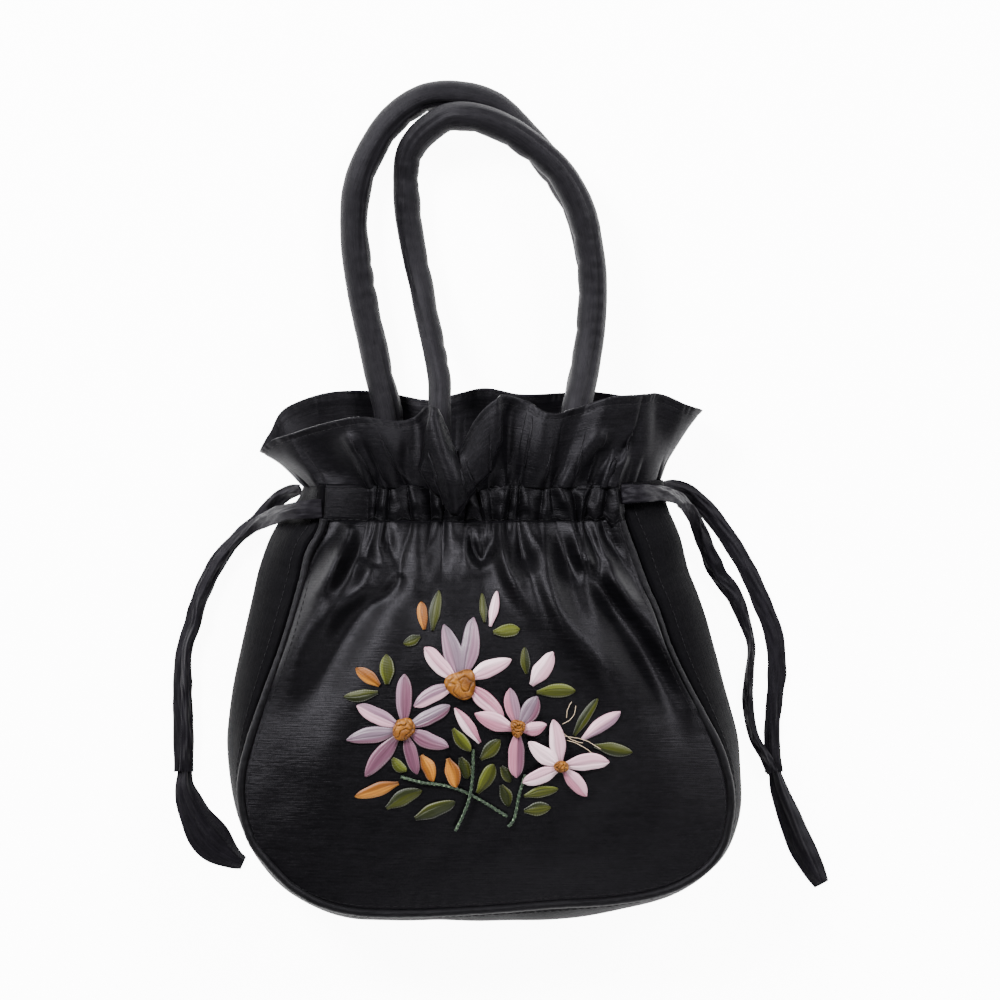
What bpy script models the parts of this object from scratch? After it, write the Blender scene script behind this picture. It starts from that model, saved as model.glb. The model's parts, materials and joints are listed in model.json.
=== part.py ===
"""Reticule: a satin drawstring bag with a ribbon-embroidered bouquet, lying on its back.

Metres. +X runs across the bag, +Y from the bag towards the handles, +Z up from the
surface it lies on. Tables give places as shares of the named sizes: "across" counts
in bag widths from the middle of the bag, "down" in body heights from the top of the
drawstring casing, "high" in body depths above the surface.
"""
import math

import bmesh
import bpy
import numpy as np
from mathutils import Vector
from mathutils.bvhtree import BVHTree

MM = 0.001

# Bag
BAG_WIDTH = 220.4 * MM
BODY_HEIGHT = 185.3 * MM
BODY_DEPTH = 62.0 * MM
NECK_DEPTH = 40.0 * MM
CLOTH = 1.2 * MM
GAP = 0.35 * MM
PIPING_RADIUS = 1.8 * MM
FRONT_SEAM_HIGH = 46.0 * MM
BACK_SEAM_HIGH = 6.0 * MM
CASING_WIDTH = 17.0 * MM
GATHER_DEPTH = 1.5 * MM
GATHER_PITCH = 11.0 * MM
FOLD_DEPTH = 3.4 * MM
RUFFLE_GAP = 0.6 * MM

# Handles
HANDLE_RADIUS = 6.0 * MM
HANDLE_SEAT = 0.7 * MM

# Drawstring ends
RIBBON_WIDTH = 9.0 * MM
RIBBON_THICK = 1.0 * MM
DROP_THICK = 4.0 * MM

# Embroidery
BOUQUET = 86.5 * MM
BOUQUET_ACROSS = -0.294
BOUQUET_DOWN = 0.174
PETAL_RISE = 1.2 * MM
LAY_GAP = 0.4 * MM
STEM_RADIUS = 0.6 * MM

# Line of the front seam from the top left, round the bottom, to the top right;
# "bulge" is how far the gusset stands out beyond the seam, in bag widths.
SEAM = np.array([
    # across, down, bulge
    (-0.300, 0.000, 0.044),
    (-0.301, 0.050, 0.056),
    (-0.310, 0.105, 0.074),
    (-0.333, 0.158, 0.082),
    (-0.346, 0.224, 0.088),
    (-0.380, 0.364, 0.084),
    (-0.420, 0.494, 0.067),
    (-0.449, 0.597, 0.046),
    (-0.463, 0.675, 0.024),
    (-0.460, 0.746, 0.015),
    (-0.442, 0.815, 0.012),
    (-0.415, 0.858, 0.016),
    (-0.369, 0.915, 0.017),
    (-0.313, 0.954, 0.017),
    (-0.248, 0.974, 0.019),
    (-0.162, 0.979, 0.018),
    (-0.060, 0.975, 0.021),
    (0.033, 0.968, 0.027),
    (0.137, 0.958, 0.033),
    (0.238, 0.951, 0.026),
    (0.325, 0.935, 0.020),
    (0.377, 0.914, 0.016),
    (0.427, 0.876, 0.014),
    (0.456, 0.833, 0.016),
    (0.470, 0.780, 0.019),
    (0.475, 0.709, 0.023),
    (0.455, 0.609, 0.040),
    (0.423, 0.533, 0.058),
    (0.386, 0.451, 0.076),
    (0.354, 0.370, 0.088),
    (0.329, 0.284, 0.090),
    (0.311, 0.236, 0.093),
    (0.287, 0.158, 0.098),
    (0.262, 0.071, 0.094),
    (0.256, 0.000, 0.086),
])
CORNER_LEFT = 11
CORNER_RIGHT = 23

# Soft ridges in the front panel, from the casing downwards.
FOLDS = np.array([
    # top across, top down, end across, end down, half width, share of fold depth
    (-0.262, 0.09, -0.330, 0.52, 0.020, 0.80),
    (-0.205, 0.09, -0.172, 0.23, 0.017, 0.90),
    (-0.172, 0.21, -0.300, 0.38, 0.018, 0.80),
    (-0.110, 0.09, -0.110, 0.26, 0.020, 0.60),
    (-0.020, 0.09, -0.024, 0.17, 0.018, 0.90),
    (0.040, 0.09, 0.060, 0.30, 0.020, 0.80),
    (0.100, 0.09, 0.150, 0.42, 0.022, 0.80),
    (0.170, 0.09, 0.260, 0.48, 0.020, 1.00),
    (0.215, 0.09, 0.320, 0.44, 0.016, 0.90),
])

# Rim of the ruffle. "turn" counts 0 to 1 along the front from left to right, 1 to 2
# over the right side, 2 to 3 along the back from right to left, 3 to 4 over the left side.
RIM = np.array([
    # turn, across, down, high
    (0.00, -0.369, -0.114, 0.62),
    (0.12, -0.302, -0.137, 0.72),
    (0.26, -0.227, -0.153, 0.80),
    (0.36, -0.165, -0.144, 0.72),
    (0.41, -0.135, -0.151, 0.72),
    (0.450, -0.098, -0.174, 0.80),
    (0.470, -0.082, -0.130, 0.74),
    (0.490, -0.060, -0.069, 0.67),
    (0.510, -0.040, -0.082, 0.69),
    (0.535, -0.010, -0.150, 0.76),
    (0.570, 0.025, -0.197, 0.80),
    (0.63, 0.083, -0.190, 0.69),
    (0.71, 0.129, -0.162, 0.77),
    (0.76, 0.160, -0.162, 0.79),
    (0.81, 0.192, -0.178, 0.72),
    (0.89, 0.242, -0.197, 0.76),
    (1.00, 0.310, -0.204, 0.68),
    (1.20, 0.345, -0.204, 0.60),
    (1.45, 0.392, -0.182, 0.50),
    (1.65, 0.420, -0.172, 0.38),
    (1.85, 0.405, -0.178, 0.20),
    (2.00, 0.370, -0.185, 0.11),
    (2.10, 0.221, -0.213, 0.035),
    (2.22, 0.154, -0.211, 0.030),
    (2.36, 0.071, -0.208, 0.09),
    (2.48, 0.000, -0.222, 0.09),
    (2.58, -0.060, -0.206, 0.08),
    (2.66, -0.106, -0.195, 0.07),
    (2.75, -0.162, -0.206, 0.030),
    (2.83, -0.213, -0.215, 0.035),
    (2.92, -0.279, -0.215, 0.07),
    (3.10, -0.373, -0.183, 0.12),
    (3.35, -0.413, -0.119, 0.24),
    (3.60, -0.430, -0.076, 0.38),
    (3.85, -0.405, -0.100, 0.54),
])

# Handles: "level" is the height of the centre in handle radii above the surface,
# "held" how far the neck of the bag holds it up instead, "girth" its share of the radius.
BACK_HANDLE = np.array([
    # across, down, level, held, girth
    (-0.170, 0.015, 1.05, 1.00, 0.95),
    (-0.175, -0.060, 1.05, 1.00, 1.00),
    (-0.182, -0.153, 1.20, 0.80, 1.00),
    (-0.200, -0.240, 1.30, 0.35, 1.00),
    (-0.217, -0.339, 1.10, 0.10, 1.00),
    (-0.238, -0.460, 1.05, 0.00, 1.00),
    (-0.250, -0.590, 1.05, 0.00, 1.00),
    (-0.245, -0.680, 1.05, 0.00, 1.00),
    (-0.221, -0.760, 1.05, 0.00, 1.00),
    (-0.172, -0.845, 1.05, 0.00, 1.00),
    (-0.113, -0.891, 1.05, 0.00, 1.00),
    (-0.050, -0.897, 1.05, 0.00, 1.00),
    (0.020, -0.874, 1.05, 0.00, 1.00),
    (0.087, -0.797, 1.05, 0.00, 1.00),
    (0.138, -0.722, 1.05, 0.00, 1.00),
    (0.180, -0.640, 1.05, 0.00, 1.00),
    (0.204, -0.547, 1.05, 0.00, 1.00),
    (0.212, -0.446, 1.05, 0.00, 1.00),
    (0.206, -0.339, 1.10, 0.10, 1.00),
    (0.194, -0.250, 1.30, 0.35, 1.00),
    (0.180, -0.165, 1.20, 0.80, 1.00),
    (0.172, -0.060, 1.05, 1.00, 1.00),
    (0.168, 0.015, 1.05, 1.00, 0.95),
])
FRONT_HANDLE = np.array([
    # across, down, level, held, girth
    (-0.084, 0.015, 3.20, 1.00, 0.80),
    (-0.084, -0.080, 3.20, 1.00, 0.80),
    (-0.083, -0.176, 3.20, 1.00, 0.80),
    (-0.084, -0.240, 3.00, 0.70, 0.80),
    (-0.100, -0.339, 2.40, 0.30, 0.80),
    (-0.118, -0.446, 1.60, 0.05, 0.84),
    (-0.142, -0.590, 1.10, 0.00, 0.90),
    (-0.149, -0.689, 1.20, 0.00, 0.92),
    (-0.141, -0.769, 1.60, 0.00, 0.95),
    (-0.110, -0.815, 2.10, 0.00, 1.00),
    (-0.070, -0.842, 2.60, 0.00, 1.00),
    (-0.037, -0.846, 2.95, 0.00, 1.00),
    (0.012, -0.833, 3.15, 0.00, 1.00),
    (0.079, -0.789, 3.15, 0.00, 1.00),
    (0.144, -0.722, 3.15, 0.00, 1.00),
    (0.185, -0.640, 3.15, 0.00, 1.00),
    (0.205, -0.547, 3.15, 0.00, 1.00),
    (0.212, -0.446, 3.15, 0.00, 1.00),
    (0.206, -0.339, 3.20, 0.10, 1.00),
    (0.194, -0.250, 3.25, 0.40, 1.00),
    (0.181, -0.180, 3.25, 0.80, 1.00),
    (0.173, -0.080, 3.25, 1.00, 1.00),
    (0.168, 0.015, 3.25, 1.00, 0.95),
])

# Drawstring ends: "wide" is the share of the ribbon width that shows, "turn" its roll.
LEFT_TIE_FRONT = np.array([
    # across, down, high, wide, turn in degrees
    (-0.3095, 0.056, 0.650, 0.90, 0.0),
    (-0.340, 0.058, 0.66, 0.85, -10.0),
    (-0.378, 0.064, 0.56, 0.80, -20.0),
    (-0.416, 0.080, 0.32, 0.80, -20.0),
    (-0.446, 0.098, 0.12, 0.60, -20.0),
    (-0.478, 0.130, 0.085, 0.50, 0.0),
    (-0.516, 0.185, 0.080, 0.60, 10.0),
    (-0.548, 0.264, 0.080, 0.60, 0.0),
    (-0.558, 0.320, 0.075, 0.55, -10.0),
    (-0.574, 0.380, 0.070, 0.50, -10.0),
    (-0.576, 0.476, 0.070, 0.55, 0.0),
    (-0.574, 0.580, 0.060, 0.60, 5.0),
    (-0.577, 0.664, 0.044, 0.70, 0.0),
])
LEFT_TIE_BACK = np.array([
    # across, down, high, wide, turn in degrees
    (-0.353, 0.012, 0.25, 0.50, 0.0),
    (-0.378, 0.020, 0.13, 0.70, 0.0),
    (-0.408, 0.044, 0.06, 0.70, 0.0),
    (-0.438, 0.080, 0.03, 0.60, 0.0),
    (-0.474, 0.118, 0.02, 0.60, 0.0),
    (-0.516, 0.180, 0.02, 0.80, 0.0),
    (-0.546, 0.250, 0.02, 0.80, 0.0),
    (-0.566, 0.320, 0.02, 0.75, 0.0),
    (-0.584, 0.400, 0.02, 0.75, 0.0),
    (-0.588, 0.500, 0.02, 0.75, 0.0),
    (-0.586, 0.600, 0.02, 0.80, 0.0),
    (-0.583, 0.664, 0.02, 0.90, 0.0),
])
RIGHT_TIE_FRONT = np.array([
    # across, down, high, wide, turn in degrees
    (0.2655, 0.023, 0.655, 0.90, 0.0),
    (0.300, 0.022, 0.68, 0.90, 15.0),
    (0.330, 0.020, 0.58, 0.85, 30.0),
    (0.362, 0.026, 0.44, 0.80, 40.0),
    (0.388, 0.045, 0.25, 0.75, 35.0),
    (0.410, 0.080, 0.12, 0.70, 20.0),
    (0.434, 0.148, 0.075, 0.80, 0.0),
    (0.456, 0.206, 0.050, 0.85, -10.0),
    (0.487, 0.256, 0.035, 0.80, 0.0),
    (0.508, 0.318, 0.030, 0.60, 0.0),
    (0.521, 0.375, 0.030, 0.40, 0.0),
    (0.517, 0.439, 0.030, 0.45, 0.0),
    (0.514, 0.501, 0.030, 0.55, 0.0),
    (0.526, 0.584, 0.055, 0.50, 0.0),
    (0.549, 0.632, 0.062, 0.55, 0.0),
    (0.562, 0.666, 0.046, 0.60, 0.0),
])
RIGHT_TIE_BACK = np.array([
    # across, down, high, wide, turn in degrees
    (0.3485, 0.006, 0.16, 0.50, 0.0),
    (0.370, 0.006, 0.07, 0.70, 0.0),
    (0.396, 0.018, 0.03, 0.80, 0.0),
    (0.430, 0.053, 0.02, 0.85, 0.0),
    (0.465, 0.105, 0.02, 0.85, 0.0),
    (0.512, 0.195, 0.02, 0.85, 0.0),
    (0.544, 0.281, 0.02, 0.90, 0.0),
    (0.564, 0.345, 0.02, 0.90, 0.0),
    (0.571, 0.426, 0.02, 0.90, 0.0),
    (0.566, 0.500, 0.02, 0.80, 0.0),
    (0.561, 0.570, 0.02, 0.75, 0.0),
    (0.565, 0.666, 0.02, 0.85, 0.0),
])
LEFT_DROP = np.array([
    # across, down, width in bag widths
    (-0.580, 0.6665, 0.030),
    (-0.580, 0.700, 0.038),
    (-0.568, 0.745, 0.056),
    (-0.546, 0.795, 0.074),
    (-0.516, 0.838, 0.072),
    (-0.486, 0.865, 0.044),
    (-0.466, 0.876, 0.026),
])
RIGHT_DROP = np.array([
    # across, down, width in bag widths
    (0.568, 0.6730, 0.026),
    (0.575, 0.705, 0.034),
    (0.594, 0.765, 0.046),
    (0.616, 0.830, 0.050),
    (0.640, 0.885, 0.046),
    (0.658, 0.925, 0.030),
])

# Bouquet: places in bouquet lengths, across from its left edge and down from its top.
FLOWER_CENTRES = {
    # across, down, half width, half height
    "flower_top": (0.645, 0.600, 0.076, 0.072),
    "flower_left": (0.365, 0.818, 0.056, 0.054),
    "flower_middle": (0.918, 0.812, 0.036, 0.044),
    "flower_right": (1.130, 1.000, 0.034, 0.032),
}
FLOWER_PETALS = {
    # root across, root down, tip across, tip down, width
    "flower_top": (
        (0.622, 0.550, 0.560, 0.310, 0.085),
        (0.662, 0.550, 0.715, 0.278, 0.085),
        (0.600, 0.570, 0.462, 0.425, 0.075),
        (0.695, 0.560, 0.888, 0.480, 0.075),
        (0.590, 0.610, 0.410, 0.700, 0.075),
        (0.700, 0.605, 0.860, 0.760, 0.080),
    ),
    "flower_left": (
        (0.368, 0.785, 0.370, 0.550, 0.075),
        (0.330, 0.798, 0.132, 0.715, 0.075),
        (0.325, 0.835, 0.085, 0.860, 0.075),
        (0.338, 0.850, 0.170, 1.045, 0.075),
        (0.378, 0.852, 0.425, 1.040, 0.062),
        (0.402, 0.828, 0.580, 0.915, 0.075),
        (0.400, 0.800, 0.592, 0.705, 0.070),
    ),
    "flower_middle": (
        (0.912, 0.790, 0.878, 0.618, 0.070),
        (0.935, 0.800, 1.010, 0.655, 0.080),
        (0.900, 0.825, 0.712, 0.735, 0.080),
        (0.917, 0.840, 0.915, 1.055, 0.076),
        (0.935, 0.825, 1.060, 0.805, 0.062),
    ),
    "flower_right": (
        (1.126, 0.975, 1.098, 0.770, 0.072),
        (1.112, 0.995, 0.965, 0.885, 0.075),
        (1.150, 0.990, 1.362, 0.965, 0.080),
        (1.112, 1.020, 0.945, 1.085, 0.070),
        (1.145, 1.018, 1.255, 1.145, 0.075),
    ),
}
BUDS = {
    # root across, root down, tip across, tip down, width
    "bud_single": (0.735, 0.885, 0.612, 0.715, 0.060),
    "bud_top_right": (0.785, 0.320, 0.822, 0.150, 0.038),
    "bud_top_left": (0.465, 0.335, 0.448, 0.200, 0.046),
    "bud_left": (0.248, 0.606, 0.130, 0.525, 0.062),
    "bud_right": (0.985, 0.605, 1.100, 0.450, 0.082),
    "bud_far_right": (1.232, 0.870, 1.418, 0.735, 0.064),
    "bud_orange_1": (0.450, 0.945, 0.515, 1.070, 0.060),
    "bud_orange_2": (0.580, 0.960, 0.628, 1.100, 0.066),
    "bud_orange_3": (0.340, 1.082, 0.130, 1.155, 0.062),
}
LEAVES = {
    # root across, root down, tip across, tip down, width
    "leaf_top_right_1": (0.758, 0.300, 0.742, 0.160, 0.034),
    "leaf_top_right_2": (0.800, 0.348, 0.928, 0.325, 0.060),
    "leaf_top_left_1": (0.504, 0.340, 0.528, 0.145, 0.050),
    "leaf_top_left_2": (0.445, 0.368, 0.362, 0.400, 0.046),
    "leaf_left_1": (0.284, 0.600, 0.275, 0.455, 0.070),
    "leaf_left_2": (0.240, 0.640, 0.075, 0.670, 0.055),
    "leaf_right_1": (0.962, 0.550, 0.955, 0.420, 0.044),
    "leaf_right_2": (1.010, 0.640, 1.200, 0.635, 0.062),
    "leaf_far_right_1": (1.192, 0.850, 1.308, 0.670, 0.048),
    "leaf_far_right_2": (1.290, 0.900, 1.475, 0.940, 0.058),
    "leaf_low_1": (0.310, 0.960, 0.372, 1.030, 0.050),
    "leaf_low_2": (0.280, 1.205, 0.450, 1.110, 0.070),
    "leaf_low_3": (0.420, 1.255, 0.612, 1.165, 0.070),
    "leaf_middle_1": (0.604, 0.815, 0.690, 0.925, 0.056),
    "leaf_middle_2": (0.738, 0.965, 0.835, 0.870, 0.064),
    "leaf_middle_3": (0.640, 0.955, 0.676, 1.060, 0.054),
    "leaf_middle_4": (0.722, 1.130, 0.806, 0.990, 0.062),
    "leaf_middle_5": (0.838, 1.000, 0.886, 1.075, 0.050),
    "leaf_middle_6": (0.838, 1.090, 0.878, 1.195, 0.056),
    "leaf_right_low_1": (0.950, 1.146, 1.115, 1.108, 0.050),
    "leaf_right_low_2": (0.950, 1.218, 1.080, 1.200, 0.062),
}
STEMS = {
    # across, down
    "stem_left": ((0.350, 1.050), (0.450, 1.078), (0.560, 1.092), (0.670, 1.128),
                  (0.780, 1.190), (0.868, 1.245)),
    "stem_middle": ((0.702, 0.915), (0.700, 1.040), (0.682, 1.160), (0.650, 1.245),
                    (0.615, 1.315)),
    "stem_right": ((0.955, 1.040), (0.925, 1.140), (0.912, 1.210), (0.897, 1.265),
                   (0.872, 1.295)),
}
ORANGE_BUDS = ("bud_top_left", "bud_left", "bud_orange_1", "bud_orange_2", "bud_orange_3")
CORD_NODES = ("left_tie_front", "left_tie_back", "right_tie_front", "right_tie_back",
              "left_drop", "right_drop")

for old in list(bpy.data.objects):
    bpy.data.objects.remove(old, do_unlink=True)


def material(name, colour, rough, sheen=0.0):
    """Plain Principled material."""
    made = bpy.data.materials.new(name)
    made.use_nodes = True
    shader = made.node_tree.nodes["Principled BSDF"]
    shader.inputs["Base Color"].default_value = (*colour, 1.0)
    shader.inputs["Roughness"].default_value = rough
    shader.inputs["Sheen Weight"].default_value = sheen
    made.diffuse_color = (*colour, 1.0)
    return made


SATIN = ((0.012, 0.012, 0.014), 0.42, 0.15)
RIBBON_MAUVE = ((0.55, 0.36, 0.44), 0.35, 0.1)
RIBBON_PINK = ((0.85, 0.66, 0.74), 0.35, 0.1)
RIBBON_ORANGE = ((0.60, 0.27, 0.07), 0.40, 0.1)
RIBBON_GREEN = ((0.10, 0.13, 0.03), 0.38, 0.1)
THREAD_GREEN = ((0.05, 0.11, 0.04), 0.60, 0.1)


def finish(name, verts, faces, look, smooth=True):
    """Mesh object from points and faces, closed and facing outward."""
    mesh = bpy.data.meshes.new(name)
    mesh.from_pydata([tuple(v) for v in verts], [], faces)
    work = bmesh.new()
    work.from_mesh(mesh)
    bmesh.ops.recalc_face_normals(work, faces=work.faces)
    work.to_mesh(mesh)
    work.free()
    mesh.polygons.foreach_set("use_smooth", [smooth] * len(mesh.polygons))
    mesh.materials.append(material(name + "_look", *look))
    made = bpy.data.objects.new(name, mesh)
    bpy.context.scene.collection.objects.link(made)
    return made


def ease(value, low, high):
    """0 below low, 1 above high, smooth between."""
    part = np.clip((np.asarray(value, float) - low) / (high - low), 0.0, 1.0)
    return part * part * (3.0 - 2.0 * part)


def hermite(rows, at, fine):
    """Smooth curve through rows placed at the values "at", read at the values "fine"."""
    slope = np.gradient(rows, at, axis=0)
    k = np.clip(np.searchsorted(at, fine, side="right") - 1, 0, len(at) - 2)
    step = (at[k + 1] - at[k])[:, None]
    t = (fine - at[k])[:, None] / step
    start = (2 * t ** 3 - 3 * t ** 2 + 1) * rows[k] + (t ** 3 - 2 * t ** 2 + t) * step * slope[k]
    end = (3 * t ** 2 - 2 * t ** 3) * rows[k + 1] + (t ** 3 - t ** 2) * step * slope[k + 1]
    return start + end


def even_curve(rows, count, axes=2):
    """Evenly spaced points of the smooth curve through rows; the first axes are lengths."""
    rows = np.asarray(rows, float)
    chord = np.linalg.norm(np.diff(rows[:, :axes], axis=0), axis=1)
    at = np.concatenate(([0.0], np.cumsum(np.sqrt(chord))))
    curve = hermite(rows, at, np.linspace(0.0, at[-1], 30 * len(rows)))
    run = np.linalg.norm(np.diff(curve[:, :axes], axis=0), axis=1)
    run = np.concatenate(([0.0], np.cumsum(run)))
    even = np.linspace(0.0, run[-1], count)
    return np.column_stack([np.interp(even, run, column) for column in curve.T])


def unit(vectors):
    """Vectors scaled to length one."""
    return vectors / np.maximum(np.linalg.norm(vectors, axis=-1, keepdims=True), 1e-12)


def sheet(name, grid, wall, look, ring=False):
    """Closed cloth wall: the grid is its outer face, the inner face lies one wall deeper."""
    rows, cols = grid.shape[:2]
    down = np.gradient(grid, axis=0)
    if ring:
        over = np.roll(grid, -1, axis=1) - np.roll(grid, 1, axis=1)
    else:
        over = np.gradient(grid, axis=1)
    inner = grid - wall * unit(np.cross(down, over))
    verts = np.concatenate((grid.reshape(-1, 3), inner.reshape(-1, 3)))
    size = rows * cols
    faces = []
    spans = cols if ring else cols - 1
    for r in range(rows - 1):
        for c in range(spans):
            n = (c + 1) % cols
            a, b, d, e = r * cols + c, r * cols + n, (r + 1) * cols + n, (r + 1) * cols + c
            faces.append((a, e, d, b))
            faces.append((a + size, b + size, d + size, e + size))
    for c in range(spans):
        n = (c + 1) % cols
        last = (rows - 1) * cols
        faces.append((c, n, n + size, c + size))
        faces.append((last + n, last + c, last + c + size, last + n + size))
    if not ring:
        for r in range(rows - 1):
            a, b = r * cols, (r + 1) * cols
            faces.append((b, a, a + size, b + size))
            faces.append((a + cols - 1, b + cols - 1, b + cols - 1 + size, a + cols - 1 + size))
    return finish(name, verts, faces, look)


def loft(name, sections, look, smooth=True):
    """Closed solid through a row of sections with the same number of points."""
    count, points = sections.shape[:2]
    faces = []
    for r in range(count - 1):
        for c in range(points):
            n = (c + 1) % points
            a, b = r * points, (r + 1) * points
            faces.append((a + c, a + n, b + n, b + c))
    faces.append(tuple(range(points - 1, -1, -1)))
    faces.append(tuple(range((count - 1) * points, count * points)))
    return finish(name, sections.reshape(-1, 3), faces, look, smooth)


def tube(name, path, radius, sides, look):
    """Round tube along a path; radius is one value or one for each point."""
    tangent = unit(np.gradient(path, axis=0))
    side = unit(np.cross(tangent[0], (0.0, 0.0, 1.0)))
    angle = 2.0 * math.pi * np.arange(sides) / sides
    radius = np.broadcast_to(radius, len(path))
    sections = []
    for place, along, size in zip(path, tangent, radius):
        side = unit(side - along * np.dot(side, along))
        up = np.cross(side, along)
        sections.append(place + size * (np.cos(angle)[:, None] * side
                                        + np.sin(angle)[:, None] * up))
    return loft(name, np.array(sections), look)


def placed(rows):
    """Table rows with across, down and high turned into lengths."""
    made = np.array(rows, float)
    made[:, 0] *= BAG_WIDTH
    made[:, 1] *= -BODY_HEIGHT
    if made.shape[1] > 2:
        made[:, 2] *= BODY_DEPTH
    return made


# Seam line as a fine curve: place, bulge and the outward direction in the XY plane.
seam_rows = placed(SEAM)
seam_rows[:, 2] = SEAM[:, 2] * BAG_WIDTH
seam = even_curve(np.column_stack((seam_rows, np.arange(len(SEAM)))), 800)
seam_step = unit(np.gradient(seam[:, :2], axis=0))
seam_out = np.column_stack((seam_step[:, 1], -seam_step[:, 0]))
seam_at = np.arange(len(seam), dtype=float)
BEFORE_BOTTOM = seam_at < len(seam) / 2


def seam_read(at):
    """Place, bulge and outward direction of the seam line at fine positions."""
    columns = np.column_stack((seam[:, :3], seam_out))
    return np.column_stack([np.interp(at, seam_at, column) for column in columns.T])


def seam_at_height(y, left):
    """Fine position where the seam line passes the height y on one side."""
    half = BEFORE_BOTTOM if left else ~BEFORE_BOTTOM
    nearest = np.abs(seam[half, 1] - y).argmin()
    return seam_at[half][nearest]


def front_high(y):
    """Height of the front seam above the surface."""
    return NECK_DEPTH + (FRONT_SEAM_HIGH - NECK_DEPTH) * ease(-y / BODY_HEIGHT, 0.0, 0.45)


def back_high(y):
    """Height of the back seam above the surface."""
    return NECK_BACK + (BACK_SEAM_HIGH - NECK_BACK) * ease(-y / BODY_HEIGHT, 0.0, 0.20)


def gather(x):
    """Pleats drawn in by the string, seen as height along the casing."""
    turn = 2.0 * math.pi * x / GATHER_PITCH
    return GATHER_DEPTH * np.sin(turn + 0.8 * np.sin(turn / 3.7) + 0.5 * np.sin(turn / 1.9))


NECK_BACK = 3.0 * MM
NECK_CROWN = 2.0 * MM
BACK_GATHER = 0.3
SEAM_INSET = PIPING_RADIUS + GAP + 0.4 * MM
PANEL_TOP = -CASING_WIDTH - GAP


def patch(rows, cols, inset):
    """Grid over the area inside the seam line, with its shares across and down."""
    top = (seam_at_height(PANEL_TOP, True), seam_at_height(PANEL_TOP, False))
    corner = [np.interp(row, seam[:, 3], seam_at) for row in (CORNER_LEFT, CORNER_RIGHT)]
    u = np.linspace(0.0, 1.0, cols)[None, :, None]
    v = np.linspace(0.0, 1.0, rows)[:, None, None]

    def edge(low, high, count):
        read = seam_read(np.linspace(low, high, count))
        return read[:, :2] - inset * read[:, 3:5]

    left = edge(top[0], corner[0], rows)[:, None, :]
    right = edge(top[1], corner[1], rows)[:, None, :]
    bottom = edge(corner[0], corner[1], cols)[None, :, :]
    lid = left[:1] * (1.0 - u) + right[:1] * u
    flat = (1.0 - u) * left + u * right + (1.0 - v) * lid + v * bottom
    flat = flat - ((1.0 - u) * ((1.0 - v) * left[:1] + v * left[-1:])
                   + u * ((1.0 - v) * right[:1] + v * right[-1:]))
    return flat, u[..., 0], v[..., 0]


def fold_ridges(x, y):
    """Sum of the soft ridges of the fold table at places on the front panel."""
    total = np.zeros_like(x)
    for across, down, far_across, far_down, half, share in FOLDS:
        start = np.array((across * BAG_WIDTH, -down * BODY_HEIGHT))
        run = np.array((far_across * BAG_WIDTH, -far_down * BODY_HEIGHT)) - start
        length = np.hypot(*run)
        along = ((x - start[0]) * run[0] + (y - start[1]) * run[1]) / length ** 2
        aside = ((x - start[0]) * run[1] - (y - start[1]) * run[0]) / length
        widen = half * BAG_WIDTH * (1.0 + 0.6 * np.clip(along, 0.0, 1.0))
        fade = ease(along, -0.15, 0.12) * (1.0 - ease(along, 0.35, 1.05))
        total += share * FOLD_DEPTH * fade * np.exp(-(aside / widen) ** 2)
    return total


def front_surface(rows, cols):
    """Outer face of the front panel."""
    flat, u, v = patch(rows, cols, SEAM_INSET)
    x, y = flat[..., 0], flat[..., 1]
    arch = 4.0 * u * (1.0 - u)
    crown = (BODY_DEPTH - FRONT_SEAM_HIGH) * arch ** 0.7 * np.sin(math.pi * v ** 0.8) ** 0.8
    neck = NECK_CROWN * arch * (1.0 - v) ** 2
    inner = ease(np.minimum(u, 1.0 - u), 0.0, 0.10) * ease(1.0 - v, 0.0, 0.2)
    pleats = gather(x[:1] + 0.0 * x) * (1.0 - ease(v, 0.0, 0.22)) * ease(arch, 0.0, 0.2)
    z = front_high(y) + crown + neck + pleats + fold_ridges(x, y) * inner * ease(v, 0.0, 0.1)
    return np.dstack((x, y, z))


def back_surface(rows, cols):
    """Outer face of the back panel: flat on the surface, lifted at its edges."""
    flat, u, v = patch(rows, cols, SEAM_INSET)
    x, y = flat[..., 0], flat[..., 1]
    middle = ease(np.minimum(u, 1.0 - u), 0.0, 0.13)
    middle = middle * ease(v, 0.0, 0.2) * ease(1.0 - v, 0.0, 0.13)
    return np.dstack((x, y, back_high(y) * (1.0 - middle)))[:, ::-1]


def gusset_section(read, t):
    """Points across the gusset, from the back seam (t 0) to the front seam (t 1)."""
    tuck = SEAM_INSET * 0.64
    drop = SEAM_INSET * 0.77
    out = tuck + (read[..., 2] - tuck) * np.sin(math.pi * t) ** 0.7
    low = back_high(read[..., 1]) + drop
    high = front_high(read[..., 1]) - drop
    x = read[..., 0] + read[..., 3] * out
    y = read[..., 1] + read[..., 4] * out
    return np.stack((x, y, low + (high - low) * t), axis=-1)


def casing_edges(y):
    """Where the casing ends on the left and right at heights y."""
    left = [seam_read(np.array([seam_at_height(value, True)]))[0, 0] for value in y]
    right = [seam_read(np.array([seam_at_height(value, False)]))[0, 0] for value in y]
    return np.array(left) - 0.5 * MM, np.array(right) + 0.5 * MM


def casing_grid(rows, cols, front):
    """Outer face of one half of the drawstring casing."""
    v = np.linspace(0.0, 1.0, rows)[:, None]
    u = np.linspace(0.0, 1.0, cols)[None, :]
    left, right = casing_edges((-CASING_WIDTH * v).ravel())
    x = left[:, None] * (1.0 - u) + right[:, None] * u
    y = -CASING_WIDTH * v + 0.0 * x
    puff = 0.8 * MM * np.sin(math.pi * v)
    if front:
        z = front_high(y) + NECK_CROWN * 4.0 * u * (1.0 - u) + gather(x) + puff
        return np.dstack((x, y, z))
    z = back_high(y) + BACK_GATHER * gather(x) - puff
    return np.dstack((x, y, z))[:, ::-1]


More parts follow.
